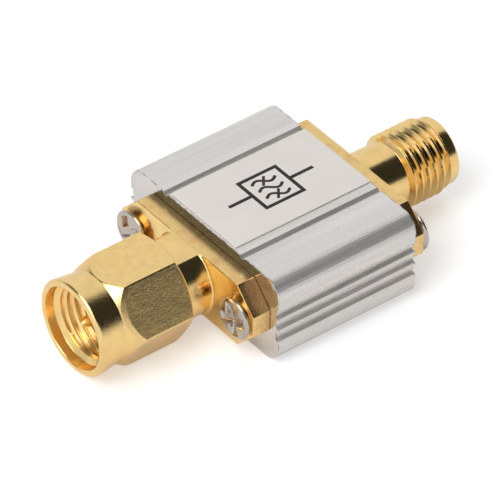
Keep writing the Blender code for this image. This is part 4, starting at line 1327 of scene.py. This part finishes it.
def white_floor():
    """A pale floor that shows white to the camera and keeps the filter's shadow."""
    finish, tree = new_material("floor", (0.92, 0.92, 0.92), 0.9, 0.0)
    shader = tree.nodes["Principled BSDF"]
    shader.inputs["Specular IOR Level"].default_value = 0.0
    ray = tree.nodes.new("ShaderNodeLightPath").outputs
    direct = math_node(tree, "MULTIPLY", ray["Is Camera Ray"], FLOOR_GLOW)
    mirrored = math_node(tree, "MULTIPLY", ray["Is Glossy Ray"], FLOOR_GLOW_MIRRORED)
    power = math_node(tree, "ADD", direct, mirrored)
    glow = add_node(tree, "Emission", {"Strength": power}).outputs[0]
    both = add_node(tree, "AddShader", {0: shader.outputs[0], 1: glow}).outputs[0]
    clear = tree.nodes.new("ShaderNodeBsdfTransparent").outputs[0]
    below = tree.nodes.new("ShaderNodeNewGeometry").outputs["Backfacing"]
    mixed = add_node(tree, "MixShader", {"Fac": below, 1: both, 2: clear}).outputs[0]
    tree.links.new(mixed, tree.nodes["Material Output"].inputs["Surface"])
    return finish


def floor_piece():
    """A wide round floor under the filter."""
    mesh = bpy.data.meshes.new("floor")
    angles = full_turn(FLOOR_SIDES)
    level = np.full(FLOOR_SIDES, CAD_BOUNDS[0].z)
    rim = [FLOOR_RADIUS * np.cos(angles), FLOOR_RADIUS * np.sin(angles), level]
    mesh.from_pydata(np.stack(rim, axis=-1), [], [list(range(FLOOR_SIDES))])
    mesh.materials.append(white_floor())
    new_object("floor", mesh)


def place_camera(stage, middle):
    """Camera at the photograph's angle."""
    level = math.cos(stage.elevation)
    east, north = math.cos(stage.azimuth), math.sin(stage.azimuth)
    back = Vector((north * level, -east * level, math.sin(stage.elevation)))
    right = Vector((east, north, 0.0))
    up = back.cross(right)
    turned_right = right * math.cos(stage.roll) + up * math.sin(stage.roll)
    turned_up = up * math.cos(stage.roll) - right * math.sin(stage.roll)
    place = middle + back * stage.distance
    aim = middle + turned_right * stage.aim_right + turned_up * stage.aim_up
    backward = (place - aim).normalized()
    sideways = turned_up.cross(backward).normalized()
    axes = Matrix((sideways, backward.cross(sideways), backward)).transposed()
    data = bpy.data.cameras.new("camera")
    data.lens = stage.lens
    data.sensor_width = 36.0
    data.clip_start = 0.01
    data.clip_end = 10.0
    camera = new_object("camera", data)
    camera.matrix_world = Matrix.Translation(place) @ axes.to_4x4()
    bpy.context.scene.camera = camera


class FILTER_OT_stage(bpy.types.Operator):
    """Set up the floor, the room, the lamp and the camera"""

    bl_idname = "filter.stage"
    bl_label = "Stage"

    def execute(self, context):
        stage = context.scene.filter_stage
        middle = Vector((SLEEVE_MIDDLE, 0.0, AXIS_HEIGHT))
        context.scene.view_settings.view_transform = "Standard"
        floor_piece()
        room(stage)
        left_lamp(middle)
        place_camera(stage, middle)
        return {"FINISHED"}


class FILTER_PT_pieces(bpy.types.Panel):
    """Pieces of the filter, in the order in which they are built"""

    bl_idname = "FILTER_PT_pieces"
    bl_label = "Filter"
    bl_space_type = "VIEW_3D"
    bl_region_type = "UI"
    bl_category = "Filter"

    def draw(self, context):
        for operator in OPERATORS:
            self.layout.operator(operator.bl_idname)


SETTINGS = {
    "filter_sleeve": FILTER_PG_sleeve,
    "filter_connectors": FILTER_PG_connectors,
    "filter_label": FILTER_PG_label,
    "filter_stage": FILTER_PG_stage,
}
OPERATORS = (
    FILTER_OT_sleeve,
    FILTER_OT_plug,
    FILTER_OT_coupling_nut,
    FILTER_OT_jack,
    FILTER_OT_contacts,
    FILTER_OT_screws,
    FILTER_OT_label,
    FILTER_OT_inside,
    FILTER_OT_stage,
)


def register():
    """Register the settings, the operators and the panel."""
    for name, group in SETTINGS.items():
        bpy.utils.register_class(group)
        setattr(bpy.types.Scene, name, PointerProperty(type=group))
    for operator in OPERATORS:
        bpy.utils.register_class(operator)
    bpy.utils.register_class(FILTER_PT_pieces)


def unregister():
    """Undo what register does."""
    bpy.utils.unregister_class(FILTER_PT_pieces)
    for operator in reversed(OPERATORS):
        bpy.utils.unregister_class(operator)
    for name, group in reversed(list(SETTINGS.items())):
        delattr(bpy.types.Scene, name)
        bpy.utils.unregister_class(group)


def main():
    """Build every piece."""
    register()
    for operator in OPERATORS:
        family, action = operator.bl_idname.split(".")
        getattr(getattr(bpy.ops, family), action)()


if __name__ == "__main__":
    main()
